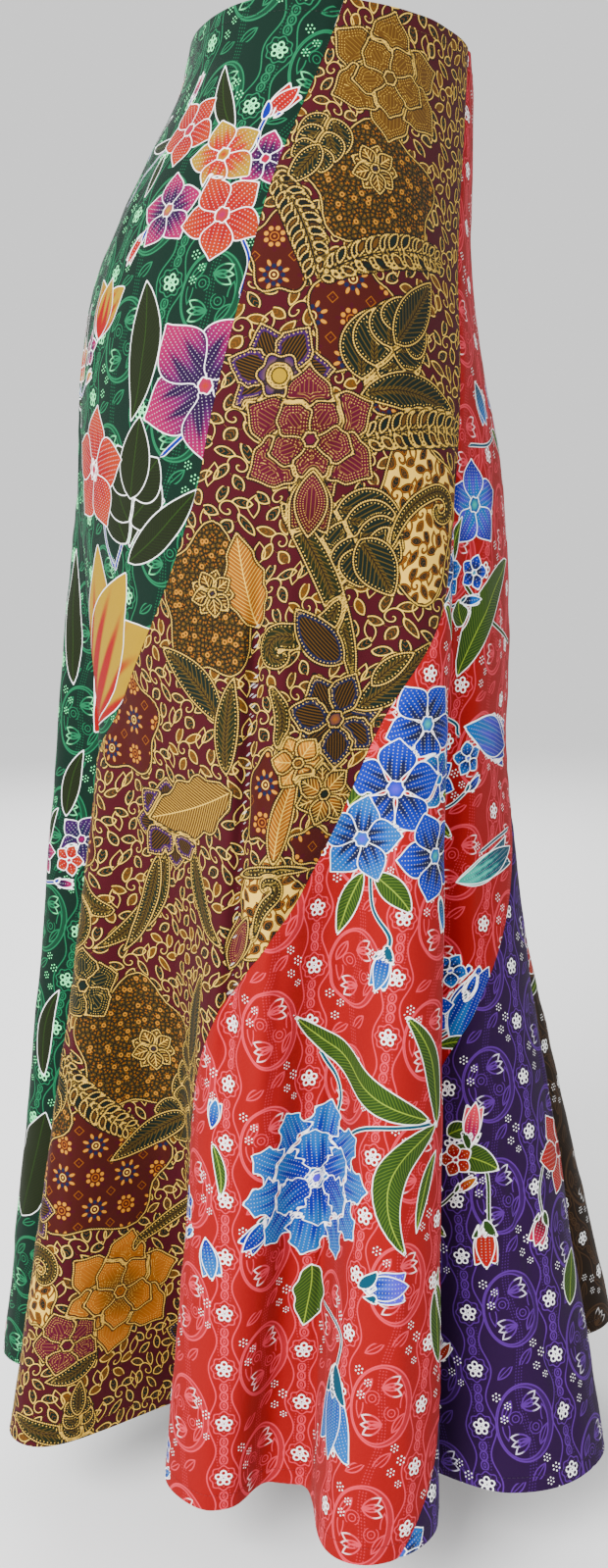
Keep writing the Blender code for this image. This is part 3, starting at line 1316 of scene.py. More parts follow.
@dataclass(frozen=True)
class Flower:
    """An open flower seen from above. Sizes are in millimetres."""

    at: Place
    radius: float
    petals: int = 6
    ink: Dye = Dye.CORAL
    tip_ink: Dye = Dye.AMBER
    streak: Optional[Dye] = None
    heart: Dye = Dye.MAGENTA
    turn: float = 0.0
    plump: float = 0.66
    belly: float = 0.98
    fullness: float = 1.15
    ragged: float = 0.0
    teeth: float = 5.0
    inner: int = 0
    streaks: float = 1.5
    heart_share: float = 0.17
    mark: Mark = Mark.DOTTED
    blaze: float = 0.62
    inner_share: float = 0.62
    inner_turn: float = 25.0
    double_heart: float = 5.5

    def petal(
        self, printer: Printer, centre: np.ndarray, turn: float, radius: float, screen: int
    ) -> None:
        """Prints one petal that points the given way.

        Args:
            printer: what prints on the panel.
            centre: the middle, flat.
            turn: which way it points, in degrees.
            radius: how far out it reaches.
            screen: the screen that it is printed through.
        """
        base = centre + turned((0.06 * radius, 0.0), turn)
        tip = centre + turned((radius, 0.0), turn)
        count = self.inner if radius < self.radius * 0.9 and self.inner else self.petals
        width = 2 * radius * np.sin(np.pi / count) * self.plump
        petal = Blade(
            bent_line(base, tip, 0.05), width, self.ink, screen, self.tip_ink, self.streak,
            self.streaks, self.belly, self.fullness, 0.25, self.teeth, self.ragged, self.mark,
            self.blaze,
        )
        printer.blade(petal)

    def ring(
        self, printer: Printer, centre: np.ndarray, count: int, radius: float, turn: float
    ) -> None:
        """Prints a ring of petals, alternate ones through different screens.

        Args:
            printer: what prints on the panel.
            centre: the middle, flat.
            count: how many petals.
            radius: how far out it reaches.
            turn: which way the first one points, in degrees.
        """
        for k in (*range(0, count, 2), *range(1, count, 2)):
            last_odd = count % 2 == 1 and k == count - 1
            screen = 3 if last_odd else 1 + k % 2
            self.petal(printer, centre, turn + 360.0 * k / count, radius, screen)

    def paint(self, printer: Printer) -> None:
        """Prints the petals, then the heart.

        Args:
            printer: what prints on the panel.
        """
        centre = printer.spot(self.at)
        self.ring(printer, centre, self.petals, self.radius, self.turn)
        if self.inner:
            inner_radius = self.radius * self.inner_share
            self.ring(printer, centre, self.inner, inner_radius, self.turn + self.inner_turn)
        heart = self.radius * self.heart_share
        printer.disc(centre, heart, self.heart, 4, lobes=6, lobe_depth=0.12, edge_ink=self.tip_ink)
        if heart > self.double_heart:
            printer.disc(centre, heart * 0.45, self.heart, 4)


@dataclass(frozen=True)
class Bud:
    """A closed or half-open flower from its stalk to its tip. Sizes are in millimetres."""

    base: Place
    tip: Place
    width: float
    ink: Dye = Dye.PINK
    tip_ink: Dye = Dye.ROSE
    streak: Optional[Dye] = None
    calyx: Optional[Dye] = None
    flare: float = 0.35
    petals: int = 3
    mark: Mark = Mark.DOTTED
    blaze: float = 0.62

    def paint(self, printer: Printer) -> None:
        """Prints the side petals, the middle one and the calyx.

        Args:
            printer: what prints on the panel.
        """
        base, tip = printer.spot(self.base), printer.spot(self.tip)
        run = tip - base
        length = float(np.linalg.norm(run))
        side = np.array([-run[1], run[0]]) / length
        spread = np.linspace(-1, 1, self.petals)
        for k in sorted(range(self.petals), key=lambda n: -abs(spread[n])):
            out = spread[k]
            end = tip + side * out * self.width * self.flare - run * 0.08 * abs(out)
            line = bent_line(base, end, -0.16 * out)
            petal = Blade(
                line, self.width * 0.62, self.ink, 3 if abs(out) < 0.2 else 1 + int(out > 0),
                self.tip_ink, self.streak, 1.5, 0.95, 0.9, mark=self.mark, blaze=self.blaze,
            )
            printer.blade(petal)
        if self.calyx:
            for out in (-1, 0, 1):
                end = base + run * 0.34 + side * out * self.width * 0.42
                line = bent_line(base - run * 0.06, end, -0.18 * out)
                printer.blade(Blade(line, self.width * 0.3, self.calyx, 4, belly=0.8))


@dataclass(frozen=True)
class LobedLeaf:
    """A dark leaf of pointed lobes in pairs along its midrib. Sizes are in millimetres."""

    base: Place
    tip: Place
    width: float
    pairs: int = 3
    bend: float = 0.1
    ink: Dye = Dye.BOTTLE
    mark: Mark = Mark.HATCHED
    lobe_turn: float = 38.0
    lobe_share: float = 0.44
    first_reach: float = 0.66
    reach_fall: float = 0.1

    def paint(self, printer: Printer) -> None:
        """Prints the pairs of lobes, then the one at the tip.

        Args:
            printer: what prints on the panel.
        """
        line = bent_line(printer.spot(self.base), printer.spot(self.tip), self.bend, 25)
        for k in range(self.pairs):
            step = int(14 * k / self.pairs)
            at = line[2 + step]
            ahead = line[6 + step] - at
            ahead = ahead / np.linalg.norm(ahead)
            reach = self.width * (self.first_reach - self.reach_fall * k)
            for hand in (-1, 1):
                tip = at + turned(tuple(ahead), hand * self.lobe_turn) * reach
                lobe = bent_line(at, tip, 0.1 * hand)
                width = self.width * self.lobe_share
                printer.blade(Blade(lobe, width, self.ink, k % 2, belly=0.9, mark=self.mark))
        width = max(self.width * 0.4, line_length(line) * 0.16)
        printer.blade(Blade(line[10:], width, self.ink, 2, belly=0.8, mark=self.mark))


@dataclass(frozen=True)
class Feather:
    """A curved spray of small leaves, in two alternating colours. Sizes are in millimetres."""

    base: Place
    tip: Place
    width: float
    bend: float = 0.1
    inks: tuple = (Dye.BOTTLE, Dye.OCHRE)
    spacing: float = 4.2
    leaflet_turn: float = 48.0
    leaflet_share: float = 0.42

    def paint(self, printer: Printer) -> None:
        """Draws the midrib and prints the leaflets.

        Args:
            printer: what prints on the panel.
        """
        line = bent_line(printer.spot(self.base), printer.spot(self.tip), self.bend, 31)
        printer.stem(line, 1.2, Dye.BROWN)
        count = max(3, int(line_length(line) / self.spacing))
        for k in range(count):
            share = (k + 0.5) / count
            at = line[int(share * 29)]
            ahead = line[int(share * 29) + 1] - at
            ahead = ahead / np.linalg.norm(ahead)
            reach = self.width / 2 * (0.65 + 0.35 * np.sin(np.pi * (k + 0.5) / count))
            for hand in (-1, 1):
                start = at + turned(tuple(ahead), hand * 90.0) * 0.9
                tip = at + turned(tuple(ahead), hand * self.leaflet_turn) * reach
                leaflet = bent_line(start, tip, 0.14 * hand, 7)
                ink = self.inks[(k + (hand > 0)) % 2]
                printer.blade(Blade(leaflet, reach * self.leaflet_share, ink, k % 2))


@dataclass(frozen=True)
class Scroll:
    """A tapering scroll whose end curls in, with a herringbone down its middle."""

    base: Place
    tip: Place
    width: float
    bend: float = 0.3
    curl: float = 1.1
    hand: int = 1
    ink: Dye = Dye.OLIVE
    screen: int = 1
    curl_step: float = 16.0

    def paint(self, printer: Printer) -> None:
        """Prints the scroll along a bow that ends in a spiral.

        Args:
            printer: what prints on the panel.
        """
        bow = bent_line(printer.spot(self.base), printer.spot(self.tip), self.bend, 17)
        ahead = bow[-1] - bow[-2]
        heading = np.degrees(np.arctan2(ahead[1], ahead[0]))
        points = [bow[-1]]
        start = float(np.linalg.norm(bow[-1] - bow[0])) * 0.06
        for k in range(int(26 * self.curl)):
            heading += self.hand * self.curl_step
            step = start * (1 - k / (30 * self.curl))
            points.append(points[-1] + turned((step, 0.0), heading))
        line = np.concatenate([bow[:-1], np.array(points)])
        scroll = Blade(
            line, self.width, self.ink, self.screen, belly=0.75, fullness=0.6, mark=Mark.HATCHED
        )
        printer.blade(scroll)


@dataclass(frozen=True)
class Ground:
    """A stretch of ground with a close pattern. Sizes are in millimetres."""

    kind: Patch
    at: Place
    width: float
    tall: float
    turn: float = 0.0
    waves: int = 5

    def paint(self, printer: Printer) -> None:
        """Marks the stretch.

        Args:
            printer: what prints on the panel.
        """
        sweep = np.linspace(0, 2 * np.pi, 40, endpoint=False)
        size = 1 + 0.12 * np.sin(self.waves * sweep + self.turn)
        x = np.cos(sweep) * self.width / 2 * size
        y = np.sin(sweep) * self.tall / 2 * size
        printer.patch(self.kind, printer.spot(self.at) + turned((x, y), self.turn).T)


class Wire:
    """A number that changes over the cloth. Arithmetic on it adds Math nodes."""

    def __init__(self, finish: "Finish", socket: Socket) -> None:
        """Wraps an output socket of the finish's nodes."""
        self.finish = finish
        self.socket = socket

    def math(self, operation: str, *others: object) -> "Wire":
        """One Math node on this number and the others.

        Args:
            operation: the node's operation.
            others: its further inputs.

        Returns:
            The node's result.
        """
        sockets = dict(enumerate((self, *others)))
        node = self.finish.node("ShaderNodeMath", {"operation": operation}, sockets)
        return Wire(self.finish, node.outputs[0])

    def flipped(self, operation: str, other: float) -> "Wire":
        """One Math node with this number second."""
        node = self.finish.node("ShaderNodeMath", {"operation": operation}, {0: other, 1: self})
        return Wire(self.finish, node.outputs[0])

    def __add__(self, other: object) -> "Wire":
        """The sum."""
        return self.math("ADD", other)

    def __sub__(self, other: object) -> "Wire":
        """The difference."""
        return self.math("SUBTRACT", other)

    def __rsub__(self, other: float) -> "Wire":
        """The difference from a plain number."""
        return self.flipped("SUBTRACT", other)

    def __mul__(self, other: object) -> "Wire":
        """The product."""
        return self.math("MULTIPLY", other)

    def __truediv__(self, other: object) -> "Wire":
        """The quotient."""
        return self.math("DIVIDE", other)

    def __abs__(self) -> "Wire":
        """The size without the sign."""
        return self.math("ABSOLUTE")

    __radd__ = __add__
    __rmul__ = __mul__

    def fraction(self) -> "Wire":
        """What is left over a whole number."""
        return self.math("FRACT")

    def wrapped(self, length: float) -> "Wire":
        """The number wrapped into a length about zero."""
        return (self / length + 0.5).fraction() * length - length / 2

    def over(self, level: float, soft: float = 0.16) -> "Wire":
        """1 above a level and 0 under it, with a soft edge."""
        return self.finish.ramp(self, level - soft, level + soft, 0.0, 1.0)

    def under(self, level: float, soft: float = 0.16) -> "Wire":
        """1 under a level and 0 above it, with a soft edge."""
        return self.finish.ramp(self, level - soft, level + soft, 1.0, 0.0)

    def band(self, half: float, soft: float = 0.16) -> "Wire":
        """1 within a distance of zero, with soft edges."""
        return abs(self).under(half, soft)

    def equals(self, mark: int) -> "Wire":
        """1 where the number is a mark's."""
        return self.math("COMPARE", float(mark), 0.4)

    def highest(self, *others: object) -> "Wire":
        """The largest of the numbers.

        Args:
            others: the other numbers.

        Returns:
            The largest.
        """
        return reduce(lambda found, other: found.math("MAXIMUM", other), others, self)

    def lowest(self, *others: object) -> "Wire":
        """The smallest of the numbers.

        Args:
            others: the other numbers.

        Returns:
            The smallest.
        """
        return reduce(lambda found, other: found.math("MINIMUM", other), others, self)


class Finish:
    """A material in the making, and the ways to add nodes to it."""

    def __init__(self, name: str) -> None:
        """Starts an empty material.

        Args:
            name: the material's name.
        """
        self.material = bpy.data.materials.new(name)
        self.material.use_nodes = True
        self.tree = self.material.node_tree
        self.tree.nodes.clear()

    def node(self, kind: str, settings: dict, sockets: dict) -> bpy.types.Node:
        """Adds a node.

        Args:
            kind: the node's type.
            settings: its own settings, which are set first.
            sockets: values, dyes or wires for its inputs, by number, name or identifier.

        Returns:
            The node.
        """
        node = self.tree.nodes.new(kind)
        for key, value in settings.items():
            setattr(node, key, value)
        for key, value in sockets.items():
            found = [s for s in node.inputs if s.identifier == key] or [node.inputs[key]]
            if isinstance(value, Wire):
                value = value.socket
            if isinstance(value, Dye):
                value = self.colour(value)
            if isinstance(value, Socket):
                self.tree.links.new(value, found[0])
            else:
                found[0].default_value = value
        return node

    def ramp(self, value: Wire, start: float, end: float, first: float, last: float) -> Wire:
        """Maps a range of numbers onto another and holds it there."""
        sockets = {0: value, 1: start, 2: end, 3: first, 4: last}
        return Wire(self, self.node("ShaderNodeMapRange", {"clamp": True}, sockets).outputs[0])

    def colour(self, dye: Dye, strength: float = 1.0) -> tuple:
        """A dye as a socket's value."""
        return (*(dye.light * strength).tolist(), 1.0)

    def mix(self, amount: object, below: object, above: object) -> Socket:
        """Lays one colour over another.

        Args:
            amount: how much of the upper colour shows.
            below: the lower colour.
            above: the upper colour.

        Returns:
            The mixed colour.
        """
        sockets = {"Factor_Float": amount, "A_Color": below, "B_Color": above}
        node = self.node("ShaderNodeMix", {"data_type": "RGBA", "clamp_factor": True}, sockets)
        return next(s for s in node.outputs if s.identifier == "Result_Color")

    def attribute(self, name: str) -> tuple:
        """An attribute's colour and its fourth value."""
        node = self.node("ShaderNodeAttribute", {"attribute_name": name}, {})
        return node.outputs["Color"], Wire(self, node.outputs["Alpha"])

    def numbers(self, vector: Socket) -> list:
        """The three numbers of a vector or a colour."""
        node = self.node("ShaderNodeSeparateXYZ", {}, {0: vector})
        return [Wire(self, socket) for socket in node.outputs]

    def length(self, x: Wire, y: Wire) -> Wire:
        """The length of a flat vector."""
        return (x * x + y * y).math("SQRT")

    def turned(self, x: Wire, y: Wire, degrees: float) -> tuple:
        """A flat vector turned clockwise."""
        cosine, sine = float(np.cos(np.radians(degrees))), float(np.sin(np.radians(degrees)))
        return x * cosine + y * sine, y * cosine - x * sine

    def lens(self, x: Wire, y: Wire, length: float, width: float) -> Wire:
        """How far outside a pointed oval that lies along x a place is."""
        radius = (length**2 + width**2) / (4 * width)
        return self.length(x, abs(y) + (radius - width / 2)) - radius

    def oval(self, x: Wire, y: Wire, half_width: float, half_height: float) -> Wire:
        """About how far outside an oval a place is."""
        out = self.length(x / half_width, y / half_height) - 1.0
        return out * ((half_width + half_height) / 2)

    def polar(self, turn: Wire, out: Wire) -> tuple:
        """The x and y of a place at a bearing, in radians, and a distance."""
        return turn.math("COSINE") * out, turn.math("SINE") * out

    def normal(self, height: Wire, strength: float, distance: float) -> Socket:
        """The normals of a fine relief."""
        sockets = {"Strength": strength, "Distance": distance, "Height": height}
        return self.node("ShaderNodeBump", {}, sockets).outputs[0]

    def coat(self, looks: dict) -> bpy.types.Material:
        """Ends the material with a shader whose inputs are given by name.

        Args:
            looks: values or wires for the shader's inputs.

        Returns:
            The material.
        """
        shader = self.node("ShaderNodeBsdfPrincipled", {}, looks)
        self.node("ShaderNodeOutputMaterial", {}, {"Surface": shader.outputs[0]})
        return self.material


@dataclass(frozen=True)
class PrintedCotton:
    """A printed cotton: its ground, the shapes printed on it, and its weave."""

    name: str
    line_ink: Dye = Dye.WHITE
    line_half: float = 0.3
    screens: int = Printer.screens
    roughness: float = 0.85
    sheen: float = 0.02
    sheen_roughness: float = 0.5
    specular: float = 0.12
    weave_pitch: float = 0.42
    wrong_side_dye: Dye = Dye.WHITE

    def ground(self, finish: Finish, x: Wire, y: Wire) -> Socket:
        """The colour of the bare ground."""
        raise NotImplementedError

    def worked(self, finish: Finish, ink: Socket, inside: Wire, work: tuple) -> Socket:
        """The colour inside a printed shape."""
        raise NotImplementedError

    def edge(self, finish: Finish, below: Socket, away: Wire, around: Wire) -> Socket:
        """The line round a shape."""
        return finish.mix(away.band(self.line_half), below, self.line_ink)

    def stems(self, finish: Finish, below: Socket) -> Socket:
        """Draws the stems over the ground.

        Args:
            finish: the material in the making.
            below: the colour under it.

        Returns:
            The colour.
        """
        ink, side = finish.attribute("stem_ink")
        away, along, half = finish.numbers(finish.attribute("stem_work")[0])
        near = (away - half).under(2.4, 0.3)
        beyond = abs(side) - half
        line = self.edge(finish, below, beyond + 100.0 * (1.0 - near), along)
        return finish.mix(beyond.under(-0.1) * near, line, ink)

    def screen(self, finish: Finish, index: int, below: Socket) -> Socket:
        """Prints one screen's shapes over what is below.

        Args:
            finish: the material in the making.
            index: the screen's number.
            below: the colour under it.

        Returns:
            The colour.
        """
        ink, inside = finish.attribute(f"ink_{index}")
        work, mark = finish.attribute(f"work_{index}")
        along, across, around = finish.numbers(work)
        fill = self.worked(finish, ink, inside, (along, across, around, mark))
        covered = finish.mix(inside.over(0.0), below, fill)
        return self.edge(finish, covered, inside, around)

    def make(self) -> bpy.types.Material:
        """Builds the material.

        Returns:
            The material.
        """
        finish = Finish(self.name)
        x, y, _ = finish.numbers(finish.attribute("cloth_place")[0])
        colour = self.stems(finish, self.ground(finish, x, y))
        for index in range(self.screens):
            colour = self.screen(finish, index, colour)
        wrong_node = finish.node("ShaderNodeAttribute", {"attribute_name": "wrong_side"}, {})
        pale = finish.mix(WRONG_SIDE_PALE, colour, self.wrong_side_dye)
        colour = finish.mix(Wire(finish, wrong_node.outputs["Fac"]), colour, pale)
        rate = 2 * np.pi / self.weave_pitch
        weave = (x * rate).math("SINE") * (y * rate).math("SINE")
        looks = {
            "Base Color": colour,
            "Roughness": self.roughness,
            "Sheen Weight": self.sheen,
            "Sheen Roughness": self.sheen_roughness,
            "Specular IOR Level": self.specular,
            "Normal": finish.normal(weave, WEAVE_STRENGTH, WEAVE_HEIGHT),
        }
        return finish.coat(looks)


class Floret(NamedTuple):
    """Where a dotted floret lies in the tulip repeat, and its radius, in millimetres."""

    right: float
    up: float
    size: float


FLORETS = (
    Floret(-17.0, -24.0, 2.1),
    Floret(-11.5, -31.0, 2.4),
    Floret(-16.5, -38.5, 2.1),
    Floret(-11.0, -45.0, 1.8),
    Floret(15.0, 4.0, 2.1),
    Floret(11.5, -54.0, 2.3),
    Floret(18.0, -60.0, 1.9),
)


class LineLeaf(NamedTuple):
    """A leaf drawn in line by the tulip medallions. Its place and size are in millimetres."""

    mirrored: bool
    right: float
    up: float
    turn: float
    length: float
    width: float
    line: float
    ribbed: bool


TULIP_LEAVES = (
    LineLeaf(True, -11.4, 9.0, 62.0, 13.0, 4.8, 0.42, True),
    LineLeaf(True, 13.0, 2.0, 96.0, 15.0, 4.0, 0.36, False),
    LineLeaf(False, 5.0, -32.5, 48.0, 14.0, 5.4, 0.42, True),
    LineLeaf(False, -9.6, 33.0, 38.0, 13.0, 5.0, 0.42, True),
)


class LinePetal(NamedTuple):
    """One petal of the tulips: degrees from upright, and its size in millimetres."""

    turn: float
    length: float
    width: float


TULIP_PETALS = (LinePetal(26.0, 12.5, 5.2), LinePetal(-26.0, 12.5, 5.2), LinePetal(0.0, 12.0, 4.2))


@dataclass(frozen=True)
class TulipCotton(PrintedCotton):
    """Cotton with tulip medallions between chains of small flowers, in paler lines, sized in mm."""

    ground_dye: Dye = Dye.RED
    pattern_dye: Dye = Dye.BLUSH
    flower_dye: Dye = Dye.WHITE
    vein_dye: Dye = Dye.LIME
    chain_at: tuple = (0.0, 0.0)
    column: float = 57.0
    drop: float = 72.0
    outer_oval: tuple = (19.0, 24.0)
    inner_oval: tuple = (16.6, 22.4)
    inner_shift: float = 1.4
    flower_out: float = 3.3
    beads_out: float = 5.8
    ring_out: float = 7.6
    bow_out: float = 7.4
    bow_wave: float = 2.6
    link_step: float = 6.0
    medallions_from: float = 8.6
    links_from: float = 9.2

    def medallion(self, finish: Finish, x: Wire, y: Wire) -> tuple:
        """How strongly the medallions' and leaves' lines show, and the tulips' tips.

        Args:
            finish: the material in the making.
            x: how far across the cloth, in millimetres.
            y: how far up it.

        Returns:
            The lines and the tips, as wires from 0 to 1.
        """
        number = (x / self.column).math("FLOOR")
        odd = (number * 0.5).fraction() * 2.0
        mx = x - number * self.column - self.column / 2
        my = (y + odd * (self.drop / 2)).wrapped(self.drop)
        outer = finish.oval(mx, my, *self.outer_oval)
        inner = finish.oval(mx + self.inner_shift, my, *self.inner_oval)
        crescent = outer.under(0.0) * inner.over(0.0) * 0.2
        side = my.math("SIGN")
        px, py = mx * side, abs(my)
        curl = finish.length(px + 6.4, py - 3.6)
        lines = [inner.band(0.42), curl.wrapped(2.2).band(0.3) * curl.under(4.6), crescent]
        tips = []
        tx, ty = finish.turned(px - 3.4, py - 11.6, 12.0)
        for turn, length, width in TULIP_PETALS:
            ax, ay = finish.turned(tx + 5.0, ty, turn)
            petal = finish.lens(ax - length / 2, ay, length, width)
            lines.append(petal.band(0.5))
            tips.append(petal.band(0.4) * (ax - length * 0.7).over(0.0, 1.5) * 0.5)
        for leaf in TULIP_LEAVES:
            ox, oy = (px, py) if leaf.mirrored else (mx, my)
            lx, ly = finish.turned(ox - leaf.right, oy - leaf.up, leaf.turn)
            shape = finish.lens(lx, ly, leaf.length, leaf.width)
            lines.append(shape.band(leaf.line))
            if leaf.ribbed:
                lines.append(shape.under(-0.6) * ly.band(0.3))
        return outer.band(0.5).highest(*lines), tips[0].highest(*tips[1:])

    def specks(self, finish: Finish, x: Wire, y: Wire) -> Wire:
        """Rows of fine dots that bow round the medallions.

        Args:
            finish: the material in the making.
            x: how far across the cloth, in millimetres.
            y: how far up it.

        Returns:
            How strongly they show.
        """
        bow = x + (y * (2 * np.pi / self.drop)).math("SINE") * 2.5
        row = bow.wrapped(self.column / 2)
        dots = finish.length(row.wrapped(1.9), y.wrapped(1.9)).under(0.42)
        return dots * abs(row).under(3.2, 0.4) * 0.55

    def floret(self, finish: Finish, x: Wire, y: Wire, size: float) -> Wire:
        """How strongly a small ring of white dots round one dot shows.

        Args:
            finish: the material in the making.
            x: how far across the cloth, in millimetres.
            y: how far up it.
            size: the ring's radius.

        Returns:
            The wire, from 0 to 1.
        """
        out = finish.length(x, y)
        dx, dy = finish.polar(x.math("ARCTAN2", y).wrapped(np.pi / 3), out)
        return finish.length(dx - size, dy).lowest(out).under(size * 0.2)

    def florets(self, finish: Finish, x: Wire, y: Wire) -> Wire:
        """How strongly the florets scattered between the medallions show.

        Args:
            finish: the material in the making.
            x: how far across the cloth, in millimetres.
            y: how far up it.

        Returns:
            The wire, from 0 to 1.
        """
        shown = []
        for right, up, size in FLORETS:
            fx, fy = (x - right).wrapped(self.column), (y - up).wrapped(self.drop)
            shown.append(self.floret(finish, fx, fy, size))
        return shown[0].highest(*shown[1:])

    def chain(self, finish: Finish, x: Wire, y: Wire) -> tuple:
        """How strongly the chains' links and their small white flowers show.

        Args:
            finish: the material in the making.
            x: how far across the cloth, in millimetres.
            y: how far up it.

        Returns:
            The links and the flowers, as wires from 0 to 1.
        """
        cx = x.wrapped(self.column)
        cy = y.wrapped(self.drop / 2)
        out = finish.length(cx, cy)
        turn = cx.math("ARCTAN2", cy)
        px, py = finish.polar(turn.wrapped(2 * np.pi / 5), out)
        petal = finish.length(px - self.flower_out, py)
        flower = (petal - 1.6).band(0.42).highest((out - 0.9).band(0.3))
        bx, by = finish.polar(turn.wrapped(np.pi / 6), out)
        beads = finish.length(bx - self.beads_out, by).under(0.34)
        scallop = (turn * 8.0).math("COSINE") * 0.6
        ring = (out - scallop - self.ring_out).band(0.42)
        link_y = cy.wrapped(self.link_step)
        link = finish.oval(cx, link_y, 2.3, 2.9).band(0.5)
        inner = finish.oval(cx, link_y, 0.7, 1.3).band(0.35)
        wave = (cy * (4 * np.pi / self.drop)).math("COSINE") * self.bow_wave
        bow = (abs(cx) - wave - self.bow_out).band(0.45)
        links = link.highest(inner, bow) * out.over(self.links_from)
        return ring.highest(links, beads), flower

    def ground(self, finish: Finish, x: Wire, y: Wire) -> Socket:
        """The dyed ground with its line pattern.

        Args:
            finish: the material in the making.
            x: how far across the cloth, in millimetres.
            y: how far up it.

        Returns:
            The colour.
        """
        x, y = x - self.chain_at[0], y - self.chain_at[1]
        rings, flower = self.chain(finish, x, y)
        away = finish.length(x.wrapped(self.column), y.wrapped(self.drop / 2))
        away = away.over(self.medallions_from)
        medallion, tips = self.medallion(finish, x, y)
        line = (medallion.highest(self.specks(finish, x, y)) * away).highest(rings)
        dyed = finish.mix(line, self.ground_dye, self.pattern_dye)
        white = flower.highest(self.florets(finish, x, y).highest(tips) * away)
        return finish.mix(white, dyed, self.flower_dye)

    def worked(self, finish: Finish, ink: Socket, inside: Wire, work: tuple) -> Socket:
        """Midribs and faint veins on leaves, and rows of white dots on petals.

        Args:
            finish: the material in the making.
            ink: the shape's own colour.
            inside: how far inside the shape each place lies.
            work: how far along, across and round the shape, and its mark.

        Returns:
            The colour.
        """
        along, across, _, mark = work
        rib = across.band(0.36)
        veins = (along - abs(across) * 1.1).wrapped(2.6).band(0.3) * 0.3
        leaf = mark.equals(Mark.VEINED) * rib.highest(veins)
        dots = finish.length(along.wrapped(1.9), across.wrapped(2.6)).under(0.3)
        petal = mark.equals(Mark.DOTTED) * dots * inside.over(1.3) * 0.32
        veined = finish.mix(leaf * 0.85, ink, self.vein_dye)
        return finish.mix(petal, veined, Dye.WHITE)


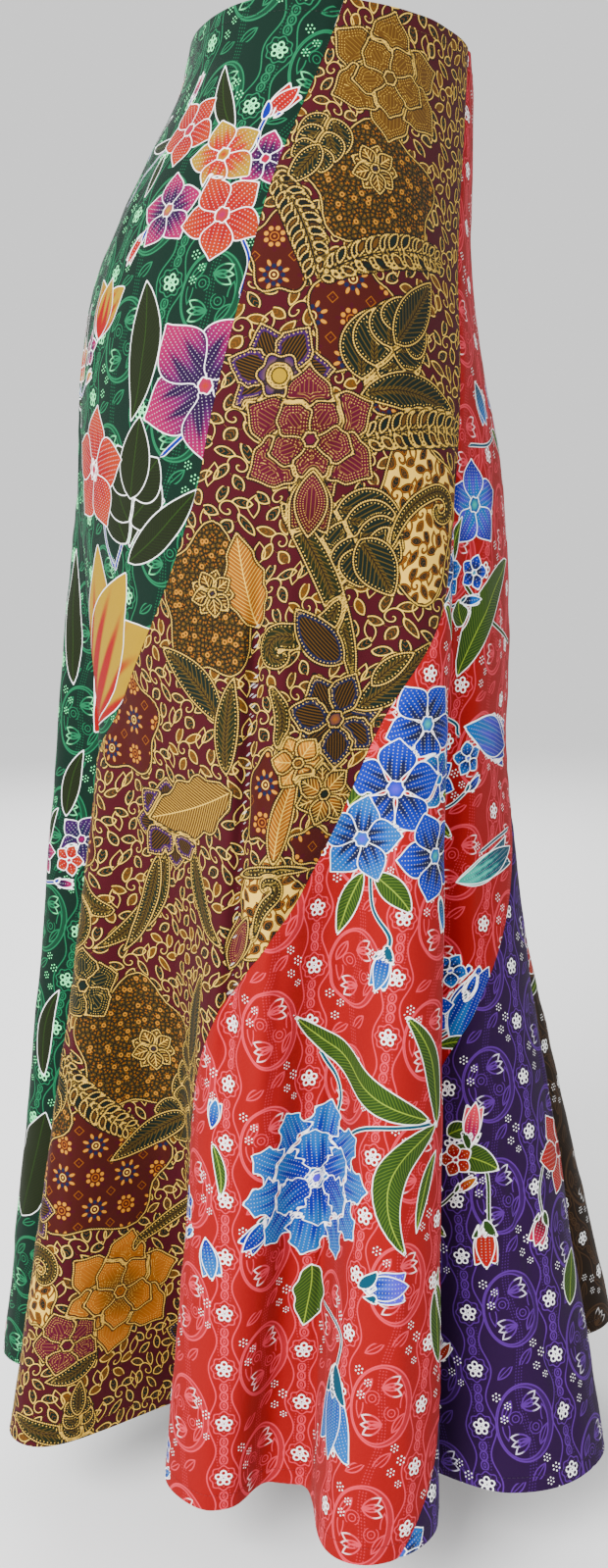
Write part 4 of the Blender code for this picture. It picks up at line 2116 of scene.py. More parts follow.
@dataclass(frozen=True)
class BatikCotton(PrintedCotton):
    """Gold batik: cream beaded outlines over maroon, with starred, speckled or crackled grounds."""

    line_ink: Dye = Dye.CREAM
    bead: float = 1.45
    rows_to: float = 5.2
    star_pitch: float = 22.0
    star_balls: float = 5.0
    star_leaves: float = 7.2
    vine_pitch: float = 25.5
    vine_wave: float = 3.0
    curl_step: float = 5.0
    curl_reach: float = 6.4
    vine_leaf: tuple = (10.4, 5.2)
    leaf_out: float = 9.6
    grain: float = 2.6
    crackle_scale: float = 1.25
    ground_dye: Dye = Dye.MAROON

    def edge(self, finish: Finish, below: Socket, away: Wire, around: Wire) -> Socket:
        """A dark line with cream beads along it.

        Args:
            finish: the material in the making.
            below: the colour under it.
            away: how far from the line a place is.
            around: how far round the outline.

        Returns:
            The colour.
        """
        dark = finish.mix(away.band(1.25) * 0.9, below, Dye.INK)
        beads = finish.length(around.wrapped(self.bead), away).under(0.44, 0.18)
        thread = away.band(0.2) * 0.8
        return finish.mix(beads.highest(thread), dark, self.line_ink)

    def worked(self, finish: Finish, ink: Socket, inside: Wire, work: tuple) -> Socket:
        """Herringbone down the middle of leaves, dotted rims, and rows of dots on petals.

        Args:
            finish: the material in the making.
            ink: the shape's own colour.
            inside: how far inside the shape each place lies.
            work: how far along, across and round the shape, and its mark.

        Returns:
            The colour.
        """
        along, across, around, mark = work
        hatched, eyed = mark.equals(Mark.HATCHED), mark.equals(Mark.EYED)
        core = inside.over(2.2) * across.band(2.1)
        bone = (along - abs(across) * 1.2).wrapped(2.4).band(0.4).highest(across.band(0.3))
        barb = (along - abs(across) * 1.3).wrapped(4.2).band(0.5) * inside.over(2.4)
        cored = finish.mix(core.highest(barb) * hatched, ink, Dye.BRONZE)
        boned = finish.mix(core * hatched * bone, cored, Dye.INK)
        throat = finish.mix(across.wrapped(1.7).band(0.3), Dye.INK, Dye.OCHRE)
        boned = finish.mix(eyed * inside.over(3.0), boned, throat)
        rim = finish.length(around.wrapped(2.4), inside - 1.6).under(0.36) * hatched.highest(eyed)
        rows = finish.length(around.wrapped(1.7), inside.wrapped(1.6)).under(0.27)
        dotted = mark.equals(Mark.DOTTED)
        rows = rows * dotted * inside.over(1.3) * inside.under(self.rows_to) * 0.75
        ribs = across.wrapped(2.4).band(0.2) * dotted * inside.over(self.rows_to) * 0.15
        veins = (along - abs(across)).wrapped(2.6).band(0.2).highest(across.band(0.3))
        veined = finish.mix(veins * mark.equals(Mark.VEINED) * inside.over(0.9), boned, Dye.CREAM)
        return finish.mix(rim, finish.mix(rows.highest(ribs), veined, Dye.CREAM), Dye.CREAM)

    def rosette(self, finish: Finish, x: Wire, y: Wire, odd: Wire) -> tuple:
        """How strongly a star's two sets of petals and its rings show.

        Args:
            finish: the material in the making.
            x: how far right of the star's middle.
            y: how far above it.
            odd: 1 for the second kind of star, else 0.

        Returns:
            The balls, the leaves and the rings, as wires from 0 to 1.
        """
        out = finish.length(x, y)
        fold = (x.math("ARCTAN2", y) + odd * (np.pi / 8)).wrapped(np.pi / 4)
        px, py = finish.polar(fold, out)
        balls = finish.length(px - self.star_balls, py).under(1.35)
        lx, ly = finish.polar((fold + np.pi / 8).wrapped(np.pi / 4), out)
        leaves = finish.oval(lx - self.star_leaves, ly, 1.9, 1.0).under(0.0)
        return balls, leaves, (out - 2.4).band(0.34).highest(out.under(0.8))

    def stars(self, finish: Finish, x: Wire, y: Wire) -> Socket:
        """Brick ground with a chequer of two kinds of eight-petalled stars.

        Args:
            finish: the material in the making.
            x: how far across the cloth, in millimetres.
            y: how far up it.

        Returns:
            The colour.
        """
        column = (x / self.star_pitch + 0.5).math("FLOOR")
        row = (y / self.star_pitch + 0.5).math("FLOOR")
        odd = ((column + row) * 0.5).fraction() * 2.0
        sx, sy = x.wrapped(self.star_pitch), y.wrapped(self.star_pitch)
        balls, leaves, rings = self.rosette(finish, sx, sy, odd)
        corner = abs(sx) + abs(sy) - self.star_pitch
        lattice = corner.wrapped(3.0).band(0.3) * (corner + 5.5).over(0.0)
        colour = finish.mix(lattice, Dye.BRICK, Dye.GOLD)
        ball = finish.mix(odd, Dye.NAVY, Dye.PALE_GOLD)
        leaf = finish.mix(odd, Dye.PALE_GOLD, Dye.MAROON)
        colour = finish.mix(leaves, finish.mix(balls, colour, ball), leaf)
        return finish.mix(rings, colour, finish.mix(odd, Dye.CREAM, Dye.AMBER))

    def cells(self, finish: Finish, x: Wire, y: Wire, size: float, feature: str) -> Wire:
        """Distances within irregular cells of the given size.

        Args:
            finish: the material in the making.
            x: how far across the cloth, in millimetres.
            y: how far up it.
            size: a cell's size, in millimetres.
            feature: which distance.

        Returns:
            The distance.
        """
        place = finish.node("ShaderNodeCombineXYZ", {}, {0: x / size, 1: y / size})
        settings = {"voronoi_dimensions": "2D", "feature": feature}
        sockets = {"Vector": place.outputs[0], "Scale": 1.0}
        cells = finish.node("ShaderNodeTexVoronoi", settings, sockets)
        return Wire(finish, cells.outputs["Distance"])

    def vines(self, finish: Finish, x: Wire, y: Wire, base: Dye, line_ink: Dye) -> Socket:
        """Curling vines with small leaves over a plain ground.

        Args:
            finish: the material in the making.
            x: how far across the cloth, in millimetres.
            y: how far up it.
            base: the plain ground.
            line_ink: the colour of the vines and of the leaves' outlines.

        Returns:
            The colour.
        """
        pitch = self.vine_pitch
        wx = x + (y * 0.13).math("SINE") * 2.4 + (x * 0.061).math("SINE") * 2.8
        column = (wx / pitch + 0.5).math("FLOOR")
        wy = y + (x * 0.11).math("SINE") * 2.4 + (column * 0.5).fraction() * pitch
        row = (wy / pitch + 0.5).math("FLOOR")
        flip = 1.0 - ((column + row * 3.0) * 0.5).fraction() * 4.0
        cx, cy = wx.wrapped(pitch) * flip, wy.wrapped(pitch)
        out, turn = finish.length(cx, cy), cx.math("ARCTAN2", cy)
        curl = (out - turn * (self.curl_step / (2 * np.pi))).wrapped(self.curl_step)
        curl = curl + 9.0 * out.over(self.curl_reach)
        along, across = finish.polar((turn + 0.4).wrapped(2 * np.pi / 5), out)
        px, py = finish.turned(along - self.leaf_out, across, 30.0)
        leaf = finish.lens(px, py, *self.vine_leaf)
        wave = (wy * (2 * np.pi / pitch)).math("SINE") * self.vine_wave
        vine = (wx + wave + pitch / 2).wrapped(pitch)
        away = abs(curl).lowest(abs(vine), abs(leaf))
        pick = (column * 0.37 + row * 0.61).fraction()
        fill = finish.mix(pick.over(0.72), Dye.BOTTLE, Dye.OCHRE)
        shaded = finish.mix(away.under(1.0), base, Dye.INK)
        filled = finish.mix(leaf.under(-0.3), shaded, fill)
        barbs = (px - abs(py) * 1.2).wrapped(2.8).band(0.2) * leaf.under(-1.1)
        filled = finish.mix(barbs * 0.8, filled, Dye.GOLD)
        beads = finish.length((px + py * 0.4).wrapped(1.5), leaf).under(0.42)
        return finish.mix(away.under(0.32).highest(beads), filled, line_ink)

    def ground(self, finish: Finish, x: Wire, y: Wire) -> Socket:
        """Maroon with vines, and the close patterns where they are marked.

        Args:
            finish: the material in the making.
            x: how far across the cloth, in millimetres.
            y: how far up it.

        Returns:
            The colour.
        """
        patches = finish.attribute("patches")[0]
        starred, speckled, crackled = finish.numbers(patches)
        vines = self.vines(finish, x, y, self.ground_dye, self.line_ink)
        colour = finish.mix(starred.over(0.0), vines, self.stars(finish, x, y))
        curls = self.cells(finish, x, y, self.grain, "DISTANCE_TO_EDGE")
        grains = self.cells(finish, x, y, self.grain, "F1")
        large = self.cells(finish, x, y, 9.0, "F1")
        light, dark = finish.colour(Dye.BRONZE, 0.7), finish.colour(Dye.BROWN, 0.6)
        speckle = finish.mix(curls.under(0.14, 0.05), light, dark)
        speckle = finish.mix(grains.under(0.18, 0.06), speckle, Dye.GOLD)
        speckle = finish.mix((large - 0.12).band(0.04, 0.03), speckle, Dye.PALE_GOLD)
        colour = finish.mix(speckled.over(0.0), colour, speckle)
        fine_x, fine_y = x * self.crackle_scale, y * self.crackle_scale
        crackle = self.vines(finish, fine_x, fine_y, Dye.CREAM, Dye.GOLD)
        colour = finish.mix(crackled.over(0.0), colour, crackle)
        rim = abs(starred).lowest(abs(speckled), abs(crackled))
        return self.edge(finish, colour, rim, x + y)


@dataclass(frozen=True)
class Sprig:
    """A spray with three flowers, a bud and leaves, for what the photograph doesn't show."""

    at: Place
    turn: float
    size: float
    inks: tuple
    leaf: Dye = Dye.LEAF
    stalk: Dye = Dye.TEAL

    def paint(self, printer: Printer) -> None:
        """Prints the leaves and stems, then the flowers.

        Args:
            printer: what prints on the panel.
        """
        centre = printer.spot(self.at)

        def place(right: float, up: float) -> Flat:
            """A flat place by its offset from the spray's middle."""
            offset = turned((right * self.size, up * self.size), self.turn)
            return Flat(*(centre + offset).tolist())

        first, second = self.inks
        size, turn = self.size, self.turn
        motifs = (
            Stem((place(0, -1.6), place(0.1, -0.8), place(0, 0)), 1.8, self.stalk),
            Stem((place(0.1, -0.9), place(0.8, -0.5), place(1.15, 0.1)), 1.6, self.stalk),
            Leaf(place(0, -0.9), place(-1.5, -0.6), 0.42 * size, -0.2, self.leaf),
            Leaf(place(0.1, -1.1), place(1.3, -1.3), 0.38 * size, 0.2, self.leaf),
            Leaf(place(0.1, 0.3), place(-0.7, 1.6), 0.4 * size, 0.2, self.leaf),
            Flower(place(0, 0), 0.8 * size, 6, *first, turn=turn),
            Flower(place(-1.15, 0.55), 0.5 * size, 5, *second, turn=turn + 20),
            Flower(place(0.85, 1.0), 0.52 * size, 5, *second, turn=turn + 50),
            Bud(place(1.15, 0.1), place(1.6, 0.75), 0.42 * size, *first[:3], calyx=self.stalk),
        )
        for motif in motifs:
            motif.paint(printer)


@dataclass(frozen=True)
class SprigFill:
    """Sprays scattered over the parts of a panel that the photograph doesn't show."""

    schemes: tuple
    leaf: Dye
    stalk: Dye
    spacing: float = 112.0
    size: float = 22.0
    room: float = 30.0
    seed: int = 5

    def paint(self, printer: Printer) -> None:
        """Prints the sprays, none near a shape or another spray.

        Args:
            printer: what prints on the panel.
        """
        rng = np.random.default_rng(self.seed)
        hidden = np.flatnonzero(~printer.cloth.facing.ravel())
        taken = np.zeros((0, 2))
        for count, pick in enumerate(rng.choice(hidden, min(700, len(hidden)), replace=False)):
            place = printer.places[pick]
            if len(taken) and np.linalg.norm(taken - place, axis=1).min() < self.spacing:
                continue
            if printer.room(pick) < self.room:
                continue
            taken = np.vstack([taken, place])
            inks = self.schemes[len(taken) % len(self.schemes)]
            turn = float(rng.uniform(-50, 50))
            at = Flat(*place.tolist())
            Sprig(at, turn, self.size, inks, self.leaf, self.stalk).paint(printer)


@dataclass(frozen=True)
class BatikFill:
    """Large motifs scattered over the parts of a gold cotton that the photograph doesn't show."""

    most: int = 30
    tries: int = 900
    room: float = 25.0
    seed: int = 3

    def large_motif(self, place: Flat, turn: float, kind: int) -> tuple:
        """One of the large motifs and the ground it stands on.

        Args:
            place: where it stands.
            turn: which way it points, in radians.
            kind: the number of the motif.

        Returns:
            The motifs, in the order in which they are printed.
        """
        tip = Flat(place.right + 34 * np.cos(turn), place.up + 34 * np.sin(turn))
        back = Flat(place.right - 30 * np.cos(turn), place.up - 30 * np.sin(turn))
        turn = float(np.degrees(turn))
        gold = (Dye.OCHRE, Dye.OCHRE, None, Dye.GOLD)
        wine = (Dye.WINE, Dye.MAROON, None, Dye.WINE)
        navy = (Dye.NAVY, Dye.NAVY, None, Dye.GOLD)
        violet = (Dye.VIOLET, Dye.VIOLET, None, Dye.YELLOW)
        choices = (
            (Ground(Patch.STARS, place, 66.0, 56.0, turn), Feather(back, tip, 24.0, 0.12)),
            (Flower(place, 32.0, 6, *gold, turn, 0.95, inner=4),),
            (Ground(Patch.SPECKLE, place, 70.0, 60.0, turn), LobedLeaf(back, tip, 42.0)),
            (Flower(place, 32.0, 6, *wine, turn, 0.95, inner=5),),
            (
                Scroll(back, tip, 14.0, 0.3, 1.0),
                Leaf(place, tip, 15.0, 0.2, Dye.BOTTLE, mark=Mark.HATCHED),
            ),
            (
                Ground(Patch.CRACKLE, place, 56.0, 50.0, turn),
                Scroll(back, tip, 11.0, -0.3, 0.9, -1),
            ),
            (Flower(place, 25.0, 7, *navy, turn, 0.85, mark=Mark.EYED),),
            (Flower(place, 24.0, 7, *violet, turn, 0.85, mark=Mark.EYED),),
        )
        return choices[kind % len(choices)]

    def paint(self, printer: Printer) -> None:
        """Prints the motifs where there is room for them.

        Args:
            printer: what prints on the panel.
        """
        rng = np.random.default_rng(self.seed)
        hidden = np.flatnonzero(~printer.cloth.facing.ravel())
        count = 0
        for pick in rng.choice(hidden, min(self.tries, len(hidden)), replace=False):
            if count < self.most and printer.room(pick) > self.room:
                turn = float(rng.uniform(0, 2 * np.pi))
                for motif in self.large_motif(Flat(*printer.places[pick].tolist()), turn, count):
                    motif.paint(printer)
                count += 1


BLUE_FLOWER = (Dye.BLUE, Dye.CORNFLOWER, Dye.NAVY, Dye.PALE_TEAL)
SKY_FLOWER = (Dye.CORNFLOWER, Dye.SKY, Dye.NAVY, Dye.LILAC)
RED_FLOWER = (Dye.CORAL, Dye.ORANGE, Dye.RED, Dye.MAGENTA)
YELLOW_FLOWER = (Dye.ORANGE, Dye.YELLOW, Dye.CORAL, Dye.CORAL)
PURPLE_FLOWER = (Dye.VIOLET, Dye.MAGENTA, Dye.PURPLE, Dye.YELLOW)
LILY = (Dye.VIOLET, Dye.MAGENTA, Dye.PURPLE, Dye.ORANGE)
FIRE_FLOWER = (Dye.ORANGE, Dye.AMBER, Dye.RED, Dye.MAROON)
RED_BUD = (Dye.CORAL, Dye.CORAL, Dye.RED)

Tulip = partial(
    Bud, ink=Dye.YELLOW, tip_ink=Dye.YELLOW, streak=Dye.RED, mark=Mark.PLAIN, blaze=0.78
)
BatikLeaf = partial(Leaf, mark=Mark.HATCHED)
BatikFlower = partial(Flower, plump=0.8, ragged=0.08)
GreatFlower = partial(
    Flower, plump=0.7, belly=1.05, ragged=0.1, teeth=3.0, inner=5, heart_share=0.1
)


def seen(kind: Callable, *rows: tuple, **looks: object) -> tuple:
    """Motifs of one kind, each from a base to a tip in the photograph.

    Args:
        kind: what makes one motif.
        rows: a base's column and row, a tip's column and row, and the motif's own sizes.
        looks: what all of them share.

    Returns:
        The motifs, in the order of the rows.
    """
    return tuple(kind(Seen(*row[:2]), Seen(*row[2:4]), *row[4:], **looks) for row in rows)


def seen_at(kind: Callable, *rows: tuple, **looks: object) -> tuple:
    """Motifs of one kind, each round one place in the photograph.

    Args:
        kind: what makes one motif.
        rows: a place's column and row, and the motif's own sizes.
        looks: what all of them share.

    Returns:
        The motifs, in the order of the rows.
    """
    return tuple(kind(Seen(*row[:2]), *row[2:], **looks) for row in rows)


def stem(width: float, ink: Dye, *places: tuple) -> Stem:
    """A stem through places in the photograph."""
    return Stem(tuple(Seen(*place) for place in places), width, ink)


def grounds(kind: Patch, *rows: tuple, **looks: object) -> tuple:
    """Stretches of one close pattern round places in the photograph."""
    return tuple(Ground(kind, Seen(*row[:2]), *row[2:], **looks) for row in rows)


GREEN_MOTIFS = (
    stem(1.8, Dye.BLUE, (262, 152), (261, 134), (268, 118)),
    stem(1.8, Dye.BLUE, (243, 236), (252, 268), (243, 300)),
    stem(1.4, Dye.BLUE, (170, 150), (150, 172), (128, 208)),
    stem(2.2, Dye.BLUE, (200, 432), (182, 448), (165, 464)),
    stem(2.0, Dye.BLUE, (103, 525), (106, 550), (112, 578)),
    stem(2.0, Dye.BLUE, (118, 528), (122, 552), (116, 580)),
    *seen(Leaf, (236, 132, 228, 68, 13.0, 0.16), (180, 140, 154, 150, 8.0, 0.2)),
    *seen(Leaf, (166, 158, 146, 202, 8.0, 0.05)),
    *seen(Leaf, (130, 428, 147, 284, 25.0, -0.16), belly=1.1),
    *seen(LobedLeaf, (126, 566, 140, 426, 66.0, 3, -0.04, Dye.OLIVE, Mark.VEINED)),
    *seen(Leaf, (128, 574, 202, 500, 20.0, -0.1), (72, 700, 76, 560, 20.0, 0.05)),
    *seen(Bud, (190, 108, 206, 74, 9.0, Dye.VIOLET, Dye.ROSE), calyx=Dye.BLUE),
    *seen(
        Bud, (268, 119, 306, 86, 16.0, *RED_BUD), (147, 233, 127, 272, 11.0, *RED_BUD),
        calyx=Dye.BLUE,
    ),
    *seen(Tulip, (97, 345, 112, 283, 34.0), flare=0.6),
    *seen_at(
        Flower,
        (190, 132, 24.0, 5, *RED_FLOWER, 60.0),
        (268, 160, 18.0, 5, *PURPLE_FLOWER[:3], Dye.CORAL, 30.0),
        (170, 212, 24.0, 5, *PURPLE_FLOWER, 34.0),
        (226, 155, 24.0, 5, *YELLOW_FLOWER, 52.0),
        (224, 217, 27.0, 5, *RED_FLOWER, 63.0),
    ),
    *seen_at(Flower, (206, 392, 46.0, 5, *LILY, 70.0), heart_share=0.1),
    *seen_at(Flower, (93, 478, 38.0, 5, *RED_FLOWER[:3], Dye.ROSE, 90.0)),
    *seen(Tulip, (94, 748, 126, 584, 92.0), flare=0.42),
    *seen(Leaf, (66, 832, 84, 765, 14.0, 0.1)),
    *seen_at(Flower, (82, 858, 18.0, 5, Dye.VIOLET, Dye.VIOLET, Dye.NAVY, Dye.MAGENTA)),
    *seen(Leaf, (44, 1100, 58, 1010, 14.0, 0.2)),
    *seen(Leaf, (20, 1240, 46, 1135, 40.0, 0.0), teeth=3.0, tooth=0.1),
    SprigFill(
        ((RED_FLOWER, YELLOW_FLOWER), (LILY, RED_FLOWER), (YELLOW_FLOWER, PURPLE_FLOWER)),
        Dye.OLIVE, Dye.BLUE,
    ),
)

RED_MOTIFS = (
    stem(2.0, Dye.TEAL, (322, 1180), (345, 1122), (330, 1075)),
    stem(2.0, Dye.TEAL, (330, 1185), (342, 1168), (372, 1150), (440, 1146)),
    stem(2.0, Dye.TEAL, (330, 1330), (346, 1362), (340, 1398)),
    stem(2.2, Dye.TEAL, (375, 888), (378, 925), (395, 955), (392, 975)),
    stem(2.0, Dye.TEAL, (390, 765), (402, 766), (414, 762)),
    stem(2.0, Dye.TEAL, (455, 725), (462, 735), (468, 750)),
    stem(1.8, Dye.TEAL, (482, 455), (500, 452), (508, 440)),
    stem(2.4, Dye.LEAF, (478, 600), (500, 630), (520, 655)),
    stem(1.8, Dye.TEAL, (520, 845), (505, 858), (492, 868)),
    *seen(
        Leaf,
        (440, 1142, 303, 1036, 19.0, 0.16),
        (447, 1150, 414, 1036, 15.0, -0.24),
        (446, 1146, 418, 1282, 20.0, -0.62),
        (447, 1172, 428, 1258, 9.0, -0.1),
        ink=Dye.LEAF,
    ),
    *seen(Leaf, (316, 1290, 308, 1352, 20.0, 0.1, Dye.LEAF), teeth=3.0, tooth=0.12),
    *seen(
        Leaf,
        (462, 1390, 455, 1292, 16.0, 0.15),
        (369, 890, 345, 956, 12.0, -0.08),
        (378, 892, 421, 932, 15.0, 0.16),
        (356, 822, 384, 798, 14.0, 0.1),
        (468, 690, 522, 572, 26.0, 0.3),
        (474, 640, 470, 612, 16.0, 0.2),
        (214, 1165, 224, 1222, 8.0, 0.2),
        ink=Dye.LEAF,
    ),
    *seen(
        Bud,
        (392, 968, 380, 1012, 17.0, Dye.BLUE, Dye.SKY),
        (366, 1312, 420, 1312, 24.0, Dye.SKY, Dye.LILAC, Dye.BLUE),
        (280, 1240, 246, 1278, 18.0, Dye.BLUE, Dye.BLUE, Dye.SKY),
        calyx=Dye.TEAL,
    ),
    *seen(Bud, (340, 1396, 332, 1488, 34.0, Dye.BLUE, Dye.SKY, Dye.SKY, Dye.TEAL, 0.6)),
    *seen(
        Bud,
        (214, 1150, 218, 1120, 14.0, Dye.BLUE, Dye.SKY),
        (208, 1262, 214, 1308, 20.0, Dye.SKY, Dye.SKY, Dye.BLUE),
        (450, 912, 455, 952, 12.0, Dye.TEAL, Dye.SKY),
    ),
    *seen(
        Bud,
        (468, 1080, 500, 985, 46.0, Dye.BLUE, Dye.BLUE, Dye.SKY),
        (476, 740, 520, 760, 42.0, Dye.LILAC, Dye.BLUE, Dye.SKY),
        petals=5,
    ),
    *seen(
        Bud,
        (468, 900, 522, 862, 26.0, Dye.TEAL, Dye.TEAL, Dye.PALE_TEAL),
        (486, 390, 498, 432, 22.0, Dye.TEAL, Dye.SKY),
    ),
    *seen_at(
        Flower, (324, 1204, 52.0, 10, Dye.CORNFLOWER, Dye.SKY, Dye.BLUE, Dye.LILAC, 8.0),
        ragged=0.3, plump=0.74, belly=1.35, fullness=0.8, inner=6, heart_share=0.13, blaze=0.8,
    ),
    *seen_at(Flower, (438, 738, 27.0, 5, *BLUE_FLOWER, 60.0), belly=1.15),
    *seen_at(Flower, (450, 795, 20.0, 4, Dye.TEAL, Dye.SKY, Dye.BLUE, Dye.SKY, 60.0)),
    *seen_at(Flower, (401, 806, 30.0, 5, *BLUE_FLOWER[:3], Dye.LILAC, 20.0), belly=1.25),
    *seen_at(Flower, (368, 858, 27.0, 5, *SKY_FLOWER, 85.0)),
    *seen_at(Flower, (446, 872, 28.0, 5, *BLUE_FLOWER, 45.0), belly=1.1),
    *seen_at(Flower, (486, 515, 28.0, 5, Dye.LILAC, Dye.BLUE, Dye.SKY, Dye.PALE_TEAL, 30.0)),
    SprigFill(((SKY_FLOWER, BLUE_FLOWER), (BLUE_FLOWER, SKY_FLOWER)), Dye.LEAF, Dye.TEAL, seed=8),
)

PURPLE_MOTIFS = (
    stem(2.0, Dye.LEAF, (476, 1165), (500, 1200), (500, 1250)),
    stem(1.8, Dye.LEAF, (555, 1190), (552, 1215), (556, 1240)),
    *seen(
        Leaf,
        (452, 1175, 510, 1192, 18.0, 0.15),
        (455, 1160, 480, 1150, 12.0, 0.1),
        (582, 1330, 592, 1270, 18.0, 0.1),
        ink=Dye.LEAF,
    ),
    *seen(
        Bud,
        (478, 1170, 488, 1125, 16.0, Dye.ROSE, Dye.PINK, Dye.MAGENTA),
        (498, 1248, 494, 1294, 20.0, Dye.ORANGE, Dye.CORAL, Dye.RED),
        (556, 1236, 548, 1272, 18.0, Dye.MAROON, Dye.ROSE, Dye.WINE),
        calyx=Dye.LEAF,
    ),
    *seen_at(
        Flower, (570, 1170, 30.0, 6, Dye.ORANGE, Dye.CORAL, Dye.RED, Dye.MAROON), ragged=0.06
    ),
    *seen_at(Flower, (408, 1580, 20.0, 5, *SKY_FLOWER, 20.0)),
    SprigFill(((RED_FLOWER, LILY), (FIRE_FLOWER, RED_FLOWER)), Dye.LEAF, Dye.LEAF, seed=21),
)

BROWN_MOTIFS = (
    SprigFill(
        ((SKY_FLOWER, YELLOW_FLOWER), (YELLOW_FLOWER, RED_FLOWER), (RED_FLOWER, SKY_FLOWER)),
        Dye.LEAF, Dye.TEAL, seed=30,
    ),
)

